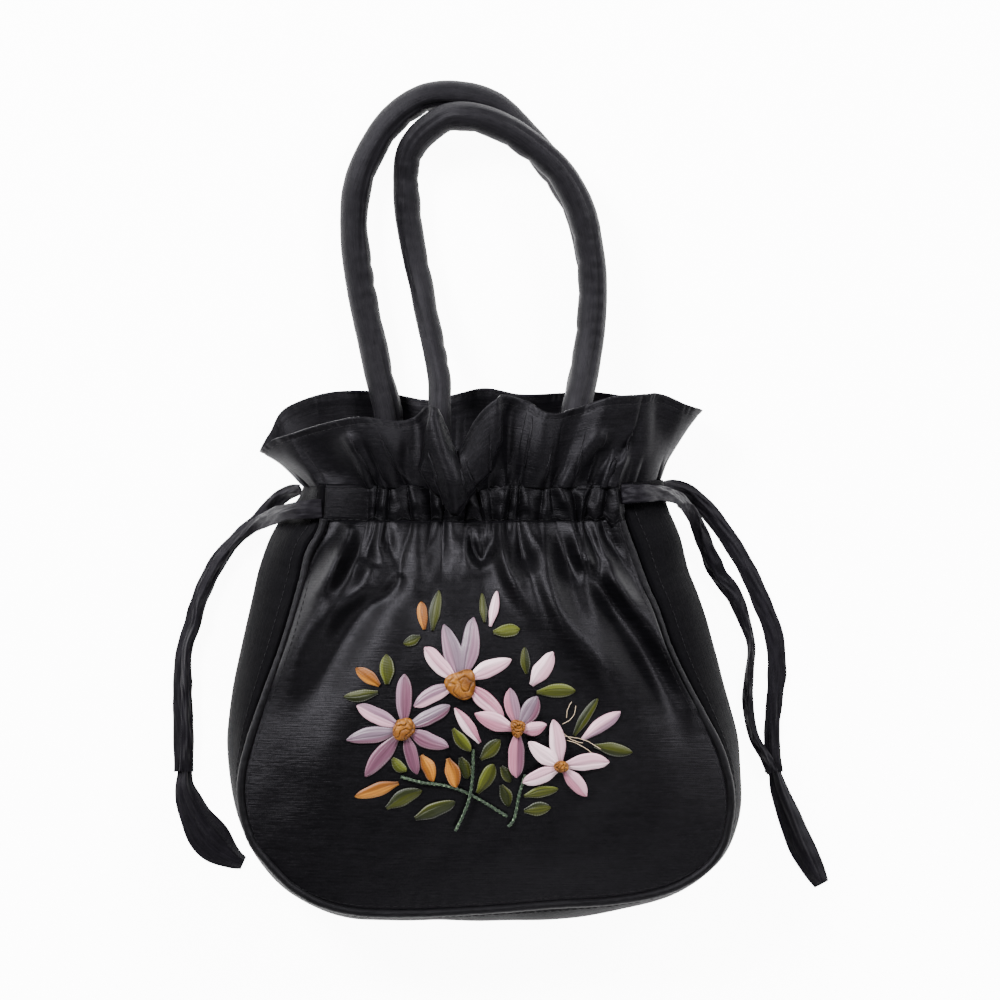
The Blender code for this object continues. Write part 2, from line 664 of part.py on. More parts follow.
# Body
front_grid = front_surface(14, 38)
sheet("front_panel", front_grid, CLOTH, SATIN)
sheet("back_panel", back_surface(11, 15), CLOTH, SATIN)
along = np.linspace(0.0, len(seam) - 1.0, 44)[:, None]
across = np.linspace(0.0, 1.0, 6)[None, :]
gusset_read = seam_read(np.repeat(along, 6, axis=1).ravel()).reshape(44, 6, 5)
sheet("gusset", gusset_section(gusset_read, np.clip(across, 0.0, 1.0)), CLOTH, SATIN)

piping_at = np.linspace(seam_at_height(PANEL_TOP - GAP, True),
                        seam_at_height(PANEL_TOP - GAP, False), 46)
piping_read = seam_read(piping_at)
for name, high in (("front_piping", front_high), ("back_piping", back_high)):
    line = np.column_stack((piping_read[:, :2], high(piping_read[:, 1])))
    tube(name, line, PIPING_RADIUS, 6, SATIN)

sheet("front_casing", casing_grid(4, 38, True), CLOTH, SATIN)
sheet("back_casing", casing_grid(4, 20, False), CLOTH, SATIN)

# Ruffle
WEDGE_TURN = 0.455
WEDGE_DROP = 7.0 * MM
WEDGE_RISE = 5.0 * MM
RUFFLE_SPREAD = 1.55 * NECK_DEPTH


def neck_ring(turn):
    """Closed line of the ruffle's gathered edge, for places around the neck."""
    left, right = (edge[0] for edge in casing_edges(np.zeros(1)))
    ends = seam_read(np.array([0.0, len(seam) - 1.0]))
    u = np.mod(turn, 1.0)
    x_front = left + (right - left) * u
    x_back = right + (left - right) * u
    side_right = gusset_section(ends[1], 1.0 - u)
    side_left = gusset_section(ends[0], u)
    part = np.floor(turn).astype(int)
    z_front = NECK_DEPTH + NECK_CROWN * 4.0 * u * (1.0 - u) + gather(x_front)
    z_back = NECK_BACK + BACK_GATHER * gather(x_back)
    x = np.choose(part, (x_front, side_right[:, 0], x_back, side_left[:, 0]))
    z = np.choose(part, (z_front, side_right[:, 2], z_back, side_left[:, 2]))
    near = turn - WEDGE_TURN
    level = 0.0 * x
    y = np.choose(part, (level, side_right[:, 1], level, side_left[:, 1]))
    y = y + RUFFLE_GAP - WEDGE_DROP * np.exp(-(near / 0.035) ** 2)
    z = z + WEDGE_RISE * np.exp(-(near / 0.06) ** 2)
    return np.column_stack((x, y, z))


def rim_ring(turn):
    """Closed line of the ruffle's free edge."""
    rows = placed(RIM[:, 1:])
    rows[:, 2] = RIM[:, 3] * RUFFLE_SPREAD
    around = RIM[:, 0]
    rows = np.concatenate((rows[-3:], rows, rows[:3]))
    around = np.concatenate((around[-3:] - 4.0, around, around[:3] + 4.0))
    return hermite(rows, around, turn)


turns = np.concatenate((np.linspace(0.0, 1.0, 41)[:-1], 1.0 + np.arange(7) / 7.0,
                        2.0 + np.arange(18) / 18.0, 3.0 + np.arange(7) / 7.0))
base = neck_ring(turns)
rim = rim_ring(turns)
rows = []
for v in np.linspace(0.0, 1.0, 5):
    line = rim * (1.0 - v) + base * v
    line[:, 2] += 2.5 * MM * math.sin(math.pi * v) * np.sin(math.pi * np.clip(turns, 0, 1))
    rows.append(line)
sheet("ruffle", np.array(rows), CLOTH, SATIN, ring=True)


# Handles
def hold_height(x, girth, front):
    """Height at which the casing wall, pleats included, holds a handle sewn inside it."""
    radius = HANDLE_RADIUS * girth
    aside = np.linspace(-0.9, 0.9, 13)[:, None] * radius
    sag = radius - np.sqrt(radius ** 2 - aside ** 2)
    if front:
        left, right = (edge[0] for edge in casing_edges(np.zeros(1)))
        u = (x - left) / (right - left)
        wall = NECK_DEPTH + NECK_CROWN * 4.0 * u * (1.0 - u) + gather(x + aside) + sag
        return wall.min(axis=0) - CLOTH - HANDLE_SEAT - radius
    wall = NECK_BACK + BACK_GATHER * gather(x + aside) - sag
    return wall.max(axis=0) + CLOTH + HANDLE_SEAT + radius


for name, table, front in (("back_handle", BACK_HANDLE, False),
                           ("front_handle", FRONT_HANDLE, True)):
    path = placed(table[:, :2])
    hold = hold_height(path[:, 0], table[:, 4], front)
    free = table[:, 2] * HANDLE_RADIUS
    high = free * (1.0 - table[:, 3]) + hold * table[:, 3]
    path = even_curve(np.column_stack((path, high, table[:, 4])), 34, axes=3)
    tube(name, path[:, :3], HANDLE_RADIUS * path[:, 3], 8, SATIN)


# Drawstring ends
def ribbon(name, table, count):
    """Flat ribbon along a path, rolled by its turn and kept above the surface."""
    path = placed(table)
    path = even_curve(path, count, axes=3)
    half = 0.5 * RIBBON_WIDTH * path[:, 3]
    roll = np.radians(path[:, 4])
    low = half * np.abs(np.sin(roll)) + 0.5 * RIBBON_THICK * np.cos(roll) + 0.1 * MM
    path[:, 2] = np.maximum(path[:, 2], low)
    along = unit(np.gradient(path[:, :3], axis=0))
    side = unit(np.cross(along, (0.0, 0.0, 1.0)))
    up = np.cross(side, along)
    wide = np.cos(roll)[:, None] * side + np.sin(roll)[:, None] * up
    thick = np.cross(wide, along)
    corners = []
    for a, b in ((-1, -1), (1, -1), (1, 1), (-1, 1)):
        corners.append(path[:, :3] + a * half[:, None] * wide + b * 0.5 * RIBBON_THICK * thick)
    loft(name, np.stack(corners, axis=1), SATIN)


def drop(name, table):
    """Flattened folded drop lying on the surface."""
    path = placed(table[:, :2])
    path = even_curve(np.column_stack((path, table[:, 2] * BAG_WIDTH)), 9)
    along = unit(np.gradient(path[:, :2], axis=0))
    side = np.column_stack((along[:, 1], -along[:, 0]))
    corners = []
    for a, b in ((-1.0, 0.30), (-0.5, 0.06), (0.5, 0.06), (1.0, 0.30), (0.45, 1.0), (-0.45, 0.9)):
        flat = path[:, :2] + 0.5 * a * path[:, 2:3] * side
        taper = 0.55 + 0.45 * np.sin(math.pi * np.linspace(0.0, 1.0, len(path)))
        corners.append(np.column_stack((flat, b * DROP_THICK * taper)))
    loft(name, np.stack(corners, axis=1), SATIN)


ribbon("left_tie_front", LEFT_TIE_FRONT, 26)
ribbon("left_tie_back", LEFT_TIE_BACK, 24)
ribbon("right_tie_front", RIGHT_TIE_FRONT, 28)
ribbon("right_tie_back", RIGHT_TIE_BACK, 24)
drop("left_drop", LEFT_DROP)
drop("right_drop", RIGHT_DROP)

# Embroidery, laid on the front panel piece by piece
PETAL_STATIONS = np.array([
    # along, share of width, share of rise
    (0.00, 0.32, 0.55),
    (0.22, 0.76, 0.90),
    (0.58, 1.00, 1.00),
    (0.85, 0.74, 0.80),
    (1.00, 0.22, 0.45),
])
laid = []


def add_laid(made):
    """Remember a placed piece so that later ones rise over it."""
    points = [vert.co.copy() for vert in made.data.vertices]
    faces = [tuple(face.vertices) for face in made.data.polygons]
    laid.append(BVHTree.FromPolygons(points, faces))


def highest(trees, x, y, miss):
    """Height of the highest surface straight below a place."""
    top = miss
    for tree in trees:
        hit = tree.ray_cast(Vector((x, y, 0.5)), Vector((0.0, 0.0, -1.0)))[0]
        if hit is not None:
            top = max(top, hit.z)
    return top


add_laid(bpy.data.objects["front_panel"])
panel = [laid.pop()]


def ground(x, y):
    """Height of the front panel at a place."""
    return highest(panel, x, y, 0.0)


def bouquet_place(across, down):
    """Place of a bouquet table entry in the bag's frame."""
    return np.array((BOUQUET_ACROSS * BAG_WIDTH + across * BOUQUET,
                     -BOUQUET_DOWN * BODY_HEIGHT - down * BOUQUET))


def petal_line(spec):
    """Root, tip, unit direction, side direction and width of a petal or leaf."""
    root = bouquet_place(spec[0], spec[1])
    tip = bouquet_place(spec[2], spec[3])
    along = unit(tip - root)
    return root, tip, np.array((along[1], -along[0])), spec[4] * BOUQUET


def petal_lift(spec):
    """How far a petal or leaf must rise to clear what is already laid."""
    root, tip, side, width = petal_line(spec)
    lift = 0.0
    for t in np.linspace(-0.04, 1.04, 13):
        wide = width * np.interp(t, PETAL_STATIONS[:, 0], PETAL_STATIONS[:, 1]) + 0.6 * MM
        for a in np.linspace(-0.5, 0.5, 7):
            x, y = root + (tip - root) * t + side * a * wide
            top = highest(laid, x, y, -1.0)
            if top > 0.0:
                lift = max(lift, top - ground(x, y) + 0.1 * MM)
    return lift


def petal(name, spec, lift, look):
    """Domed ribbon stitch: a lens along its line, resting just over the panel."""
    root, tip, side, width = petal_line(spec)
    sections = []
    for t, wide, rise in PETAL_STATIONS:
        centre = root + (tip - root) * t
        half = 0.5 * wide * width * side
        low, high = centre - half, centre + half
        left, right, middle = ground(*low), ground(*high), ground(*centre)
        extra = max(0.0, middle - 0.5 * (left + right)) + LAY_GAP + lift
        crown = 0.5 * (left + right) + extra + rise * PETAL_RISE
        sections.append(((*low, left + extra), (*(centre - 0.5 * half), crown),
                         (*(centre + 0.5 * half), crown), (*high, right + extra)))
    return loft(name, np.array(sections), look)


def disc(name, centre, sizes, low, levels, look, sides=10):
    """Low round body: level rows give a share of the sizes and a height."""
    angle = 2.0 * math.pi * np.arange(sides) / sides
    sections = []
    for share, high in levels:
        x = centre[0] + share * sizes[0] * np.cos(angle)
        y = centre[1] + share * sizes[1] * np.sin(angle)
        sections.append(np.column_stack((x, y, np.full(sides, low + high))))
    return loft(name, np.array(sections), look)


for name, places in STEMS.items():
    line = even_curve([bouquet_place(*place) for place in places], 10)
    lift = 0.0
    for x, y in even_curve(line, 60):
        for aside in (-STEM_RADIUS, 0.0, STEM_RADIUS):
            top = highest(laid, x + aside, y, -1.0)
            if top > 0.0:
                lift = max(lift, top - ground(x, y) + 0.1 * MM)
    high = [ground(x, y) + LAY_GAP + STEM_RADIUS + lift for x, y in line]
    add_laid(tube(name, np.column_stack((line, high)), STEM_RADIUS, 5, THREAD_GREEN))

for name, spec in LEAVES.items():
    add_laid(petal(name, spec, petal_lift(spec), RIBBON_GREEN))
for name, spec in BUDS.items():
    look = RIBBON_ORANGE if name in ORANGE_BUDS else RIBBON_PINK
    add_laid(petal(name, spec, petal_lift(spec), look))

for flower, centre_row in FLOWER_CENTRES.items():
    look = RIBBON_PINK if flower in ("flower_top", "flower_right") else RIBBON_MAUVE
    centre = bouquet_place(*centre_row[:2])
    sizes = np.array(centre_row[2:]) * BOUQUET
    specs = []
    for row in FLOWER_PETALS[flower]:
        root = np.array(centre_row[:2]) * 0.45 + np.array(row[:2]) * 0.55
        specs.append((*root, *row[2:]))
    lift = max(petal_lift(spec) for spec in specs)
    spread = [ground(*(centre + sizes * np.array((math.cos(a), math.sin(a)))))
              for a in np.linspace(0.0, 6.0, 13)]
    low = max(spread) + lift + LAY_GAP - 0.15 * MM
    hub = disc(flower + "_petals", centre, 0.92 * sizes, low,
               ((1.0, 0.0), (0.9, 1.15 * MM), (0.5, 1.5 * MM)), look)
    parts = [hub]
    for number, spec in enumerate(specs):
        piece = petal(flower + "_cut_" + str(number + 1), spec, lift, look)
        piece.hide_render = True
        piece.display_type = "WIRE"
        join = hub.modifiers.new("petal_" + str(number + 1), "BOOLEAN")
        join.operation = "UNION"
        join.solver = "EXACT"
        join.object = piece
        parts.append(piece)
    for part in parts:
        add_laid(part)
    top = 0.0
    for angle in np.linspace(0.0, 6.0, 13):
        for share in (0.0, 0.35, 0.7, 1.05):
            x, y = centre + share * sizes * np.array((math.cos(angle), math.sin(angle)))
            top = max(top, highest(laid, x, y, 0.0))
    rosette = disc(flower + "_centre", centre, sizes, top + 0.3 * MM,
                   ((0.8, 0.0), (1.0, 0.8 * MM), (0.85, 1.8 * MM), (0.45, 2.4 * MM)),
                   RIBBON_ORANGE, 12)
    add_laid(rosette)

# Put the bag's own box, without the loose ribbon ends, over the origin
lows = []
highs = []
for made in bpy.data.objects:
    if made.name not in CORD_NODES and not made.hide_render:
        points = np.array([vert.co for vert in made.data.vertices])
        lows.append(points.min(axis=0))
        highs.append(points.max(axis=0))
low = np.min(lows, axis=0)
high = np.max(highs, axis=0)
shift = Vector((-0.5 * (low[0] + high[0]), -0.5 * (low[1] + high[1]), -low[2]))
for made in bpy.data.objects:
    for vert in made.data.vertices:
        vert.co += shift
    made.data.update()
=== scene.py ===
"""Looks of the reticule: black satin with gathers, piping, padded handles and ribbon stitches.

Metres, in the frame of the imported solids. The bag lies on its back: +X across the bag,
+Y from its bottom towards the handles, +Z up towards the camera. Places in the tables are
shares of the named sizes: "across" in bag widths from the middle, "down" in body heights
from the top of the casing, "high" in body depths above the surface.
"""
import json
import math

import bpy
import numpy as np
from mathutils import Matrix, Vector
from mathutils.bvhtree import BVHTree

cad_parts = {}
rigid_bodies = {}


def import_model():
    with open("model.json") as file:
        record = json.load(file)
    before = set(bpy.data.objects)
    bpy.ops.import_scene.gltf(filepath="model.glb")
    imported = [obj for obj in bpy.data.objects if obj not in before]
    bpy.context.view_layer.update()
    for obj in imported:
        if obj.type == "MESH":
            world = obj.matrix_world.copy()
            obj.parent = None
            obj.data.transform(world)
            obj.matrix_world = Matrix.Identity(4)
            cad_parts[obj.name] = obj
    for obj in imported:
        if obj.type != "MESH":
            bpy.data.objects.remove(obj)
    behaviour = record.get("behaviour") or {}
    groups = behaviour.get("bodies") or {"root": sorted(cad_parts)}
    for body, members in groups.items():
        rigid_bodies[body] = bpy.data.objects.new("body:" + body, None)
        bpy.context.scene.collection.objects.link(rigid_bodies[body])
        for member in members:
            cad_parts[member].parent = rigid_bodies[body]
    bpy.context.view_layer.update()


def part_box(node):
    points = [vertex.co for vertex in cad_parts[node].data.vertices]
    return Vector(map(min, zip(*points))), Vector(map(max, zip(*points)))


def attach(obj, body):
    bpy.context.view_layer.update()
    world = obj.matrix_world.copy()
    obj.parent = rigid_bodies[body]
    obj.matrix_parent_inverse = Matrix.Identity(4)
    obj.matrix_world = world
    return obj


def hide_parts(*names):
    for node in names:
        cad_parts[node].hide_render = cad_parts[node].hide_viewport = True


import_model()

MM = 0.001
TURN = 2.0 * math.pi

# Bag
BAG_WIDTH = 220.4 * MM
BODY_HEIGHT = 185.3 * MM
BODY_DEPTH = 62.0 * MM
NECK_DEPTH = 40.0 * MM
CLOTH = 1.2 * MM
GAP = 0.35 * MM
PIPING_RADIUS = 1.8 * MM
FRONT_SEAM_HIGH = 46.0 * MM
BACK_SEAM_HIGH = 6.0 * MM
CASING_WIDTH = 17.0 * MM
GATHER_DEPTH = 1.5 * MM
GATHER_PITCH = 11.0 * MM
FOLD_DEPTH = 3.4 * MM

# Handles
HANDLE_RADIUS = 6.0 * MM
HANDLE_SEAT = 0.7 * MM

# Drawstring ends
RIBBON_WIDTH = 9.0 * MM
RIBBON_THICK = 1.0 * MM
DROP_THICK = 4.0 * MM

# Embroidery
BOUQUET = 86.5 * MM
BOUQUET_ACROSS = -0.294
BOUQUET_DOWN = 0.174
PETAL_RISE = 1.2 * MM
LAY_GAP = 0.4 * MM
STEM_RADIUS = 0.6 * MM

# Line of the front seam from the top left, round the bottom, to the top right;
# "bulge" is how far the gusset stands out beyond the seam, in bag widths.
SEAM = np.array([
    # across, down, bulge
    (-0.300, 0.000, 0.044),
    (-0.301, 0.050, 0.056),
    (-0.310, 0.105, 0.074),
    (-0.333, 0.158, 0.082),
    (-0.346, 0.224, 0.088),
    (-0.380, 0.364, 0.084),
    (-0.420, 0.494, 0.067),
    (-0.449, 0.597, 0.046),
    (-0.463, 0.675, 0.024),
    (-0.460, 0.746, 0.015),
    (-0.442, 0.815, 0.012),
    (-0.415, 0.858, 0.016),
    (-0.369, 0.915, 0.017),
    (-0.313, 0.954, 0.017),
    (-0.248, 0.974, 0.019),
    (-0.162, 0.979, 0.018),
    (-0.060, 0.975, 0.021),
    (0.033, 0.968, 0.027),
    (0.137, 0.958, 0.033),
    (0.238, 0.951, 0.026),
    (0.325, 0.935, 0.020),
    (0.377, 0.914, 0.016),
    (0.427, 0.876, 0.014),
    (0.456, 0.833, 0.016),
    (0.470, 0.780, 0.019),
    (0.475, 0.709, 0.023),
    (0.455, 0.609, 0.040),
    (0.423, 0.533, 0.058),
    (0.386, 0.451, 0.076),
    (0.354, 0.370, 0.088),
    (0.329, 0.284, 0.090),
    (0.311, 0.236, 0.093),
    (0.287, 0.158, 0.098),
    (0.262, 0.071, 0.094),
    (0.256, 0.000, 0.086),
])
CORNER_LEFT = 11
CORNER_RIGHT = 23

# Soft ridges in the front panel, from the casing downwards.
FOLDS = np.array([
    # top across, top down, end across, end down, half width, share of fold depth
    (-0.262, 0.09, -0.330, 0.52, 0.020, 0.80),
    (-0.205, 0.09, -0.172, 0.23, 0.017, 0.90),
    (-0.172, 0.21, -0.300, 0.38, 0.018, 0.80),
    (-0.110, 0.09, -0.110, 0.26, 0.020, 0.60),
    (-0.020, 0.09, -0.024, 0.17, 0.018, 0.90),
    (0.040, 0.09, 0.060, 0.30, 0.020, 0.80),
    (0.100, 0.09, 0.150, 0.42, 0.022, 0.80),
    (0.170, 0.09, 0.260, 0.48, 0.020, 1.00),
    (0.215, 0.09, 0.320, 0.44, 0.016, 0.90),
])

# Rim of the ruffle. "turn" counts 0 to 1 along the front from left to right, 1 to 2
# over the right side, 2 to 3 along the back from right to left, 3 to 4 over the left side.
RIM = np.array([
    # turn, across, down, high
    (0.00, -0.369, -0.114, 0.62),
    (0.12, -0.302, -0.137, 0.72),
    (0.26, -0.227, -0.153, 0.80),
    (0.36, -0.165, -0.144, 0.72),
    (0.41, -0.135, -0.151, 0.72),
    (0.450, -0.098, -0.174, 0.80),
    (0.470, -0.082, -0.130, 0.74),
    (0.490, -0.060, -0.069, 0.67),
    (0.510, -0.040, -0.082, 0.69),
    (0.535, -0.010, -0.150, 0.76),
    (0.570, 0.025, -0.197, 0.80),
    (0.63, 0.083, -0.190, 0.69),
    (0.71, 0.129, -0.162, 0.77),
    (0.76, 0.160, -0.162, 0.79),
    (0.81, 0.192, -0.178, 0.72),
    (0.89, 0.242, -0.197, 0.76),
    (1.00, 0.310, -0.204, 0.68),
    (1.20, 0.345, -0.204, 0.60),
    (1.45, 0.392, -0.182, 0.50),
    (1.65, 0.420, -0.172, 0.38),
    (1.85, 0.405, -0.178, 0.20),
    (2.00, 0.370, -0.185, 0.11),
    (2.10, 0.221, -0.213, 0.035),
    (2.22, 0.154, -0.211, 0.030),
    (2.36, 0.071, -0.208, 0.09),
    (2.48, 0.000, -0.222, 0.09),
    (2.58, -0.060, -0.206, 0.08),
    (2.66, -0.106, -0.195, 0.07),
    (2.75, -0.162, -0.206, 0.030),
    (2.83, -0.213, -0.215, 0.035),
    (2.92, -0.279, -0.215, 0.07),
    (3.10, -0.373, -0.183, 0.12),
    (3.35, -0.413, -0.119, 0.24),
    (3.60, -0.430, -0.076, 0.38),
    (3.85, -0.405, -0.100, 0.54),
])

# Handles: "level" is the height of the centre in handle radii above the surface,
# "held" how far the neck of the bag holds it up instead, "girth" its share of the radius.
BACK_HANDLE = np.array([
    # across, down, level, held, girth
    (-0.170, 0.015, 1.05, 1.00, 0.95),
    (-0.175, -0.060, 1.05, 1.00, 1.00),
    (-0.182, -0.153, 1.20, 0.80, 1.00),
    (-0.200, -0.240, 1.30, 0.35, 1.00),
    (-0.217, -0.339, 1.10, 0.10, 1.00),
    (-0.238, -0.460, 1.05, 0.00, 1.00),
    (-0.250, -0.590, 1.05, 0.00, 1.00),
    (-0.245, -0.680, 1.05, 0.00, 1.00),
    (-0.221, -0.760, 1.05, 0.00, 1.00),
    (-0.172, -0.845, 1.05, 0.00, 1.00),
    (-0.113, -0.891, 1.05, 0.00, 1.00),
    (-0.050, -0.897, 1.05, 0.00, 1.00),
    (0.020, -0.874, 1.05, 0.00, 1.00),
    (0.087, -0.797, 1.05, 0.00, 1.00),
    (0.138, -0.722, 1.05, 0.00, 1.00),
    (0.180, -0.640, 1.05, 0.00, 1.00),
    (0.204, -0.547, 1.05, 0.00, 1.00),
    (0.212, -0.446, 1.05, 0.00, 1.00),
    (0.206, -0.339, 1.10, 0.10, 1.00),
    (0.194, -0.250, 1.30, 0.35, 1.00),
    (0.180, -0.165, 1.20, 0.80, 1.00),
    (0.172, -0.060, 1.05, 1.00, 1.00),
    (0.168, 0.015, 1.05, 1.00, 0.95),
])
FRONT_HANDLE = np.array([
    # across, down, level, held, girth
    (-0.084, 0.015, 3.20, 1.00, 0.80),
    (-0.084, -0.080, 3.20, 1.00, 0.80),
    (-0.083, -0.176, 3.20, 1.00, 0.80),
    (-0.084, -0.240, 3.00, 0.70, 0.80),
    (-0.100, -0.339, 2.40, 0.30, 0.80),
    (-0.118, -0.446, 1.60, 0.05, 0.84),
    (-0.142, -0.590, 1.10, 0.00, 0.90),
    (-0.149, -0.689, 1.20, 0.00, 0.92),
    (-0.141, -0.769, 1.60, 0.00, 0.95),
    (-0.110, -0.815, 2.10, 0.00, 1.00),
    (-0.070, -0.842, 2.60, 0.00, 1.00),
    (-0.037, -0.846, 2.95, 0.00, 1.00),
    (0.012, -0.833, 3.15, 0.00, 1.00),
    (0.079, -0.789, 3.15, 0.00, 1.00),
    (0.144, -0.722, 3.15, 0.00, 1.00),
    (0.185, -0.640, 3.15, 0.00, 1.00),
    (0.205, -0.547, 3.15, 0.00, 1.00),
    (0.212, -0.446, 3.15, 0.00, 1.00),
    (0.206, -0.339, 3.20, 0.10, 1.00),
    (0.194, -0.250, 3.25, 0.40, 1.00),
    (0.181, -0.180, 3.25, 0.80, 1.00),
    (0.173, -0.080, 3.25, 1.00, 1.00),
    (0.168, 0.015, 3.25, 1.00, 0.95),
])

# Drawstring ends: "wide" is the share of the ribbon width that shows, "turn" its roll.
LEFT_TIE_FRONT = np.array([
    # across, down, high, wide, turn in degrees
    (-0.3095, 0.056, 0.650, 0.90, 0.0),
    (-0.340, 0.058, 0.66, 0.85, -10.0),
    (-0.378, 0.064, 0.56, 0.80, -20.0),
    (-0.416, 0.080, 0.32, 0.80, -20.0),
    (-0.446, 0.098, 0.12, 0.60, -20.0),
    (-0.478, 0.130, 0.085, 0.50, 0.0),
    (-0.516, 0.185, 0.080, 0.60, 10.0),
    (-0.548, 0.264, 0.080, 0.60, 0.0),
    (-0.558, 0.320, 0.075, 0.55, -10.0),
    (-0.574, 0.380, 0.070, 0.50, -10.0),
    (-0.576, 0.476, 0.070, 0.55, 0.0),
    (-0.574, 0.580, 0.060, 0.60, 5.0),
    (-0.577, 0.664, 0.044, 0.70, 0.0),
])
LEFT_TIE_BACK = np.array([
    # across, down, high, wide, turn in degrees
    (-0.353, 0.012, 0.25, 0.50, 0.0),
    (-0.378, 0.020, 0.13, 0.70, 0.0),
    (-0.408, 0.044, 0.06, 0.70, 0.0),
    (-0.438, 0.080, 0.03, 0.60, 0.0),
    (-0.474, 0.118, 0.02, 0.60, 0.0),
    (-0.516, 0.180, 0.02, 0.80, 0.0),
    (-0.546, 0.250, 0.02, 0.80, 0.0),
    (-0.566, 0.320, 0.02, 0.75, 0.0),
    (-0.584, 0.400, 0.02, 0.75, 0.0),
    (-0.588, 0.500, 0.02, 0.75, 0.0),
    (-0.586, 0.600, 0.02, 0.80, 0.0),
    (-0.583, 0.664, 0.02, 0.90, 0.0),
])
RIGHT_TIE_FRONT = np.array([
    # across, down, high, wide, turn in degrees
    (0.2655, 0.023, 0.655, 0.90, 0.0),
    (0.300, 0.022, 0.68, 0.90, 15.0),
    (0.330, 0.020, 0.58, 0.85, 30.0),
    (0.362, 0.026, 0.44, 0.80, 40.0),
    (0.388, 0.045, 0.25, 0.75, 35.0),
    (0.410, 0.080, 0.12, 0.70, 20.0),
    (0.434, 0.148, 0.075, 0.80, 0.0),
    (0.456, 0.206, 0.050, 0.85, -10.0),
    (0.487, 0.256, 0.035, 0.80, 0.0),
    (0.508, 0.318, 0.030, 0.60, 0.0),
    (0.521, 0.375, 0.030, 0.40, 0.0),
    (0.517, 0.439, 0.030, 0.45, 0.0),
    (0.514, 0.501, 0.030, 0.55, 0.0),
    (0.526, 0.584, 0.055, 0.50, 0.0),
    (0.549, 0.632, 0.062, 0.55, 0.0),
    (0.562, 0.666, 0.046, 0.60, 0.0),
])
RIGHT_TIE_BACK = np.array([
    # across, down, high, wide, turn in degrees
    (0.3485, 0.006, 0.16, 0.50, 0.0),
    (0.370, 0.006, 0.07, 0.70, 0.0),
    (0.396, 0.018, 0.03, 0.80, 0.0),
    (0.430, 0.053, 0.02, 0.85, 0.0),
    (0.465, 0.105, 0.02, 0.85, 0.0),
    (0.512, 0.195, 0.02, 0.85, 0.0),
    (0.544, 0.281, 0.02, 0.90, 0.0),
    (0.564, 0.345, 0.02, 0.90, 0.0),
    (0.571, 0.426, 0.02, 0.90, 0.0),
    (0.566, 0.500, 0.02, 0.80, 0.0),
    (0.561, 0.570, 0.02, 0.75, 0.0),
    (0.565, 0.666, 0.02, 0.85, 0.0),
])
LEFT_DROP = np.array([
    # across, down, width in bag widths
    (-0.580, 0.6665, 0.030),
    (-0.580, 0.700, 0.038),
    (-0.568, 0.745, 0.056),
    (-0.546, 0.795, 0.074),
    (-0.516, 0.838, 0.072),
    (-0.486, 0.865, 0.044),
    (-0.466, 0.876, 0.026),
])
RIGHT_DROP = np.array([
    # across, down, width in bag widths
    (0.568, 0.6730, 0.026),
    (0.575, 0.705, 0.034),
    (0.594, 0.765, 0.046),
    (0.616, 0.830, 0.050),
    (0.640, 0.885, 0.046),
    (0.658, 0.925, 0.030),
])

# Bouquet: places in bouquet lengths, across from its left edge and down from its top.
FLOWER_CENTRES = {
    # across, down, half width, half height
    "flower_top": (0.645, 0.600, 0.076, 0.072),
    "flower_left": (0.365, 0.818, 0.056, 0.054),
    "flower_middle": (0.918, 0.812, 0.036, 0.044),
    "flower_right": (1.130, 1.000, 0.034, 0.032),
}
FLOWER_PETALS = {
    # root across, root down, tip across, tip down, width
    "flower_top": (
        (0.622, 0.550, 0.560, 0.310, 0.085),
        (0.662, 0.550, 0.715, 0.278, 0.085),
        (0.600, 0.570, 0.462, 0.425, 0.075),
        (0.695, 0.560, 0.888, 0.480, 0.075),
        (0.590, 0.610, 0.410, 0.700, 0.075),
        (0.700, 0.605, 0.860, 0.760, 0.080),
    ),
    "flower_left": (
        (0.368, 0.785, 0.370, 0.550, 0.075),
        (0.330, 0.798, 0.132, 0.715, 0.075),
        (0.325, 0.835, 0.085, 0.860, 0.075),
        (0.338, 0.850, 0.170, 1.045, 0.075),
        (0.378, 0.852, 0.425, 1.040, 0.062),
        (0.402, 0.828, 0.580, 0.915, 0.075),
        (0.400, 0.800, 0.592, 0.705, 0.070),
    ),
    "flower_middle": (
        (0.912, 0.790, 0.878, 0.618, 0.070),
        (0.935, 0.800, 1.010, 0.655, 0.080),
        (0.900, 0.825, 0.712, 0.735, 0.080),
        (0.917, 0.840, 0.915, 1.055, 0.076),
        (0.935, 0.825, 1.060, 0.805, 0.062),
    ),
    "flower_right": (
        (1.126, 0.975, 1.098, 0.770, 0.072),
        (1.112, 0.995, 0.965, 0.885, 0.075),
        (1.150, 0.990, 1.362, 0.965, 0.080),
        (1.112, 1.020, 0.945, 1.085, 0.070),
        (1.145, 1.018, 1.255, 1.145, 0.075),
    ),
}
BUDS = {
    # root across, root down, tip across, tip down, width
    "bud_single": (0.735, 0.885, 0.612, 0.715, 0.060),
    "bud_top_right": (0.785, 0.320, 0.822, 0.150, 0.038),
    "bud_top_left": (0.465, 0.335, 0.448, 0.200, 0.046),
    "bud_left": (0.248, 0.606, 0.130, 0.525, 0.062),
    "bud_right": (0.985, 0.605, 1.100, 0.450, 0.082),
    "bud_far_right": (1.232, 0.870, 1.418, 0.735, 0.064),
    "bud_orange_1": (0.450, 0.945, 0.515, 1.070, 0.060),
    "bud_orange_2": (0.580, 0.960, 0.628, 1.100, 0.066),
    "bud_orange_3": (0.340, 1.082, 0.130, 1.155, 0.062),
}
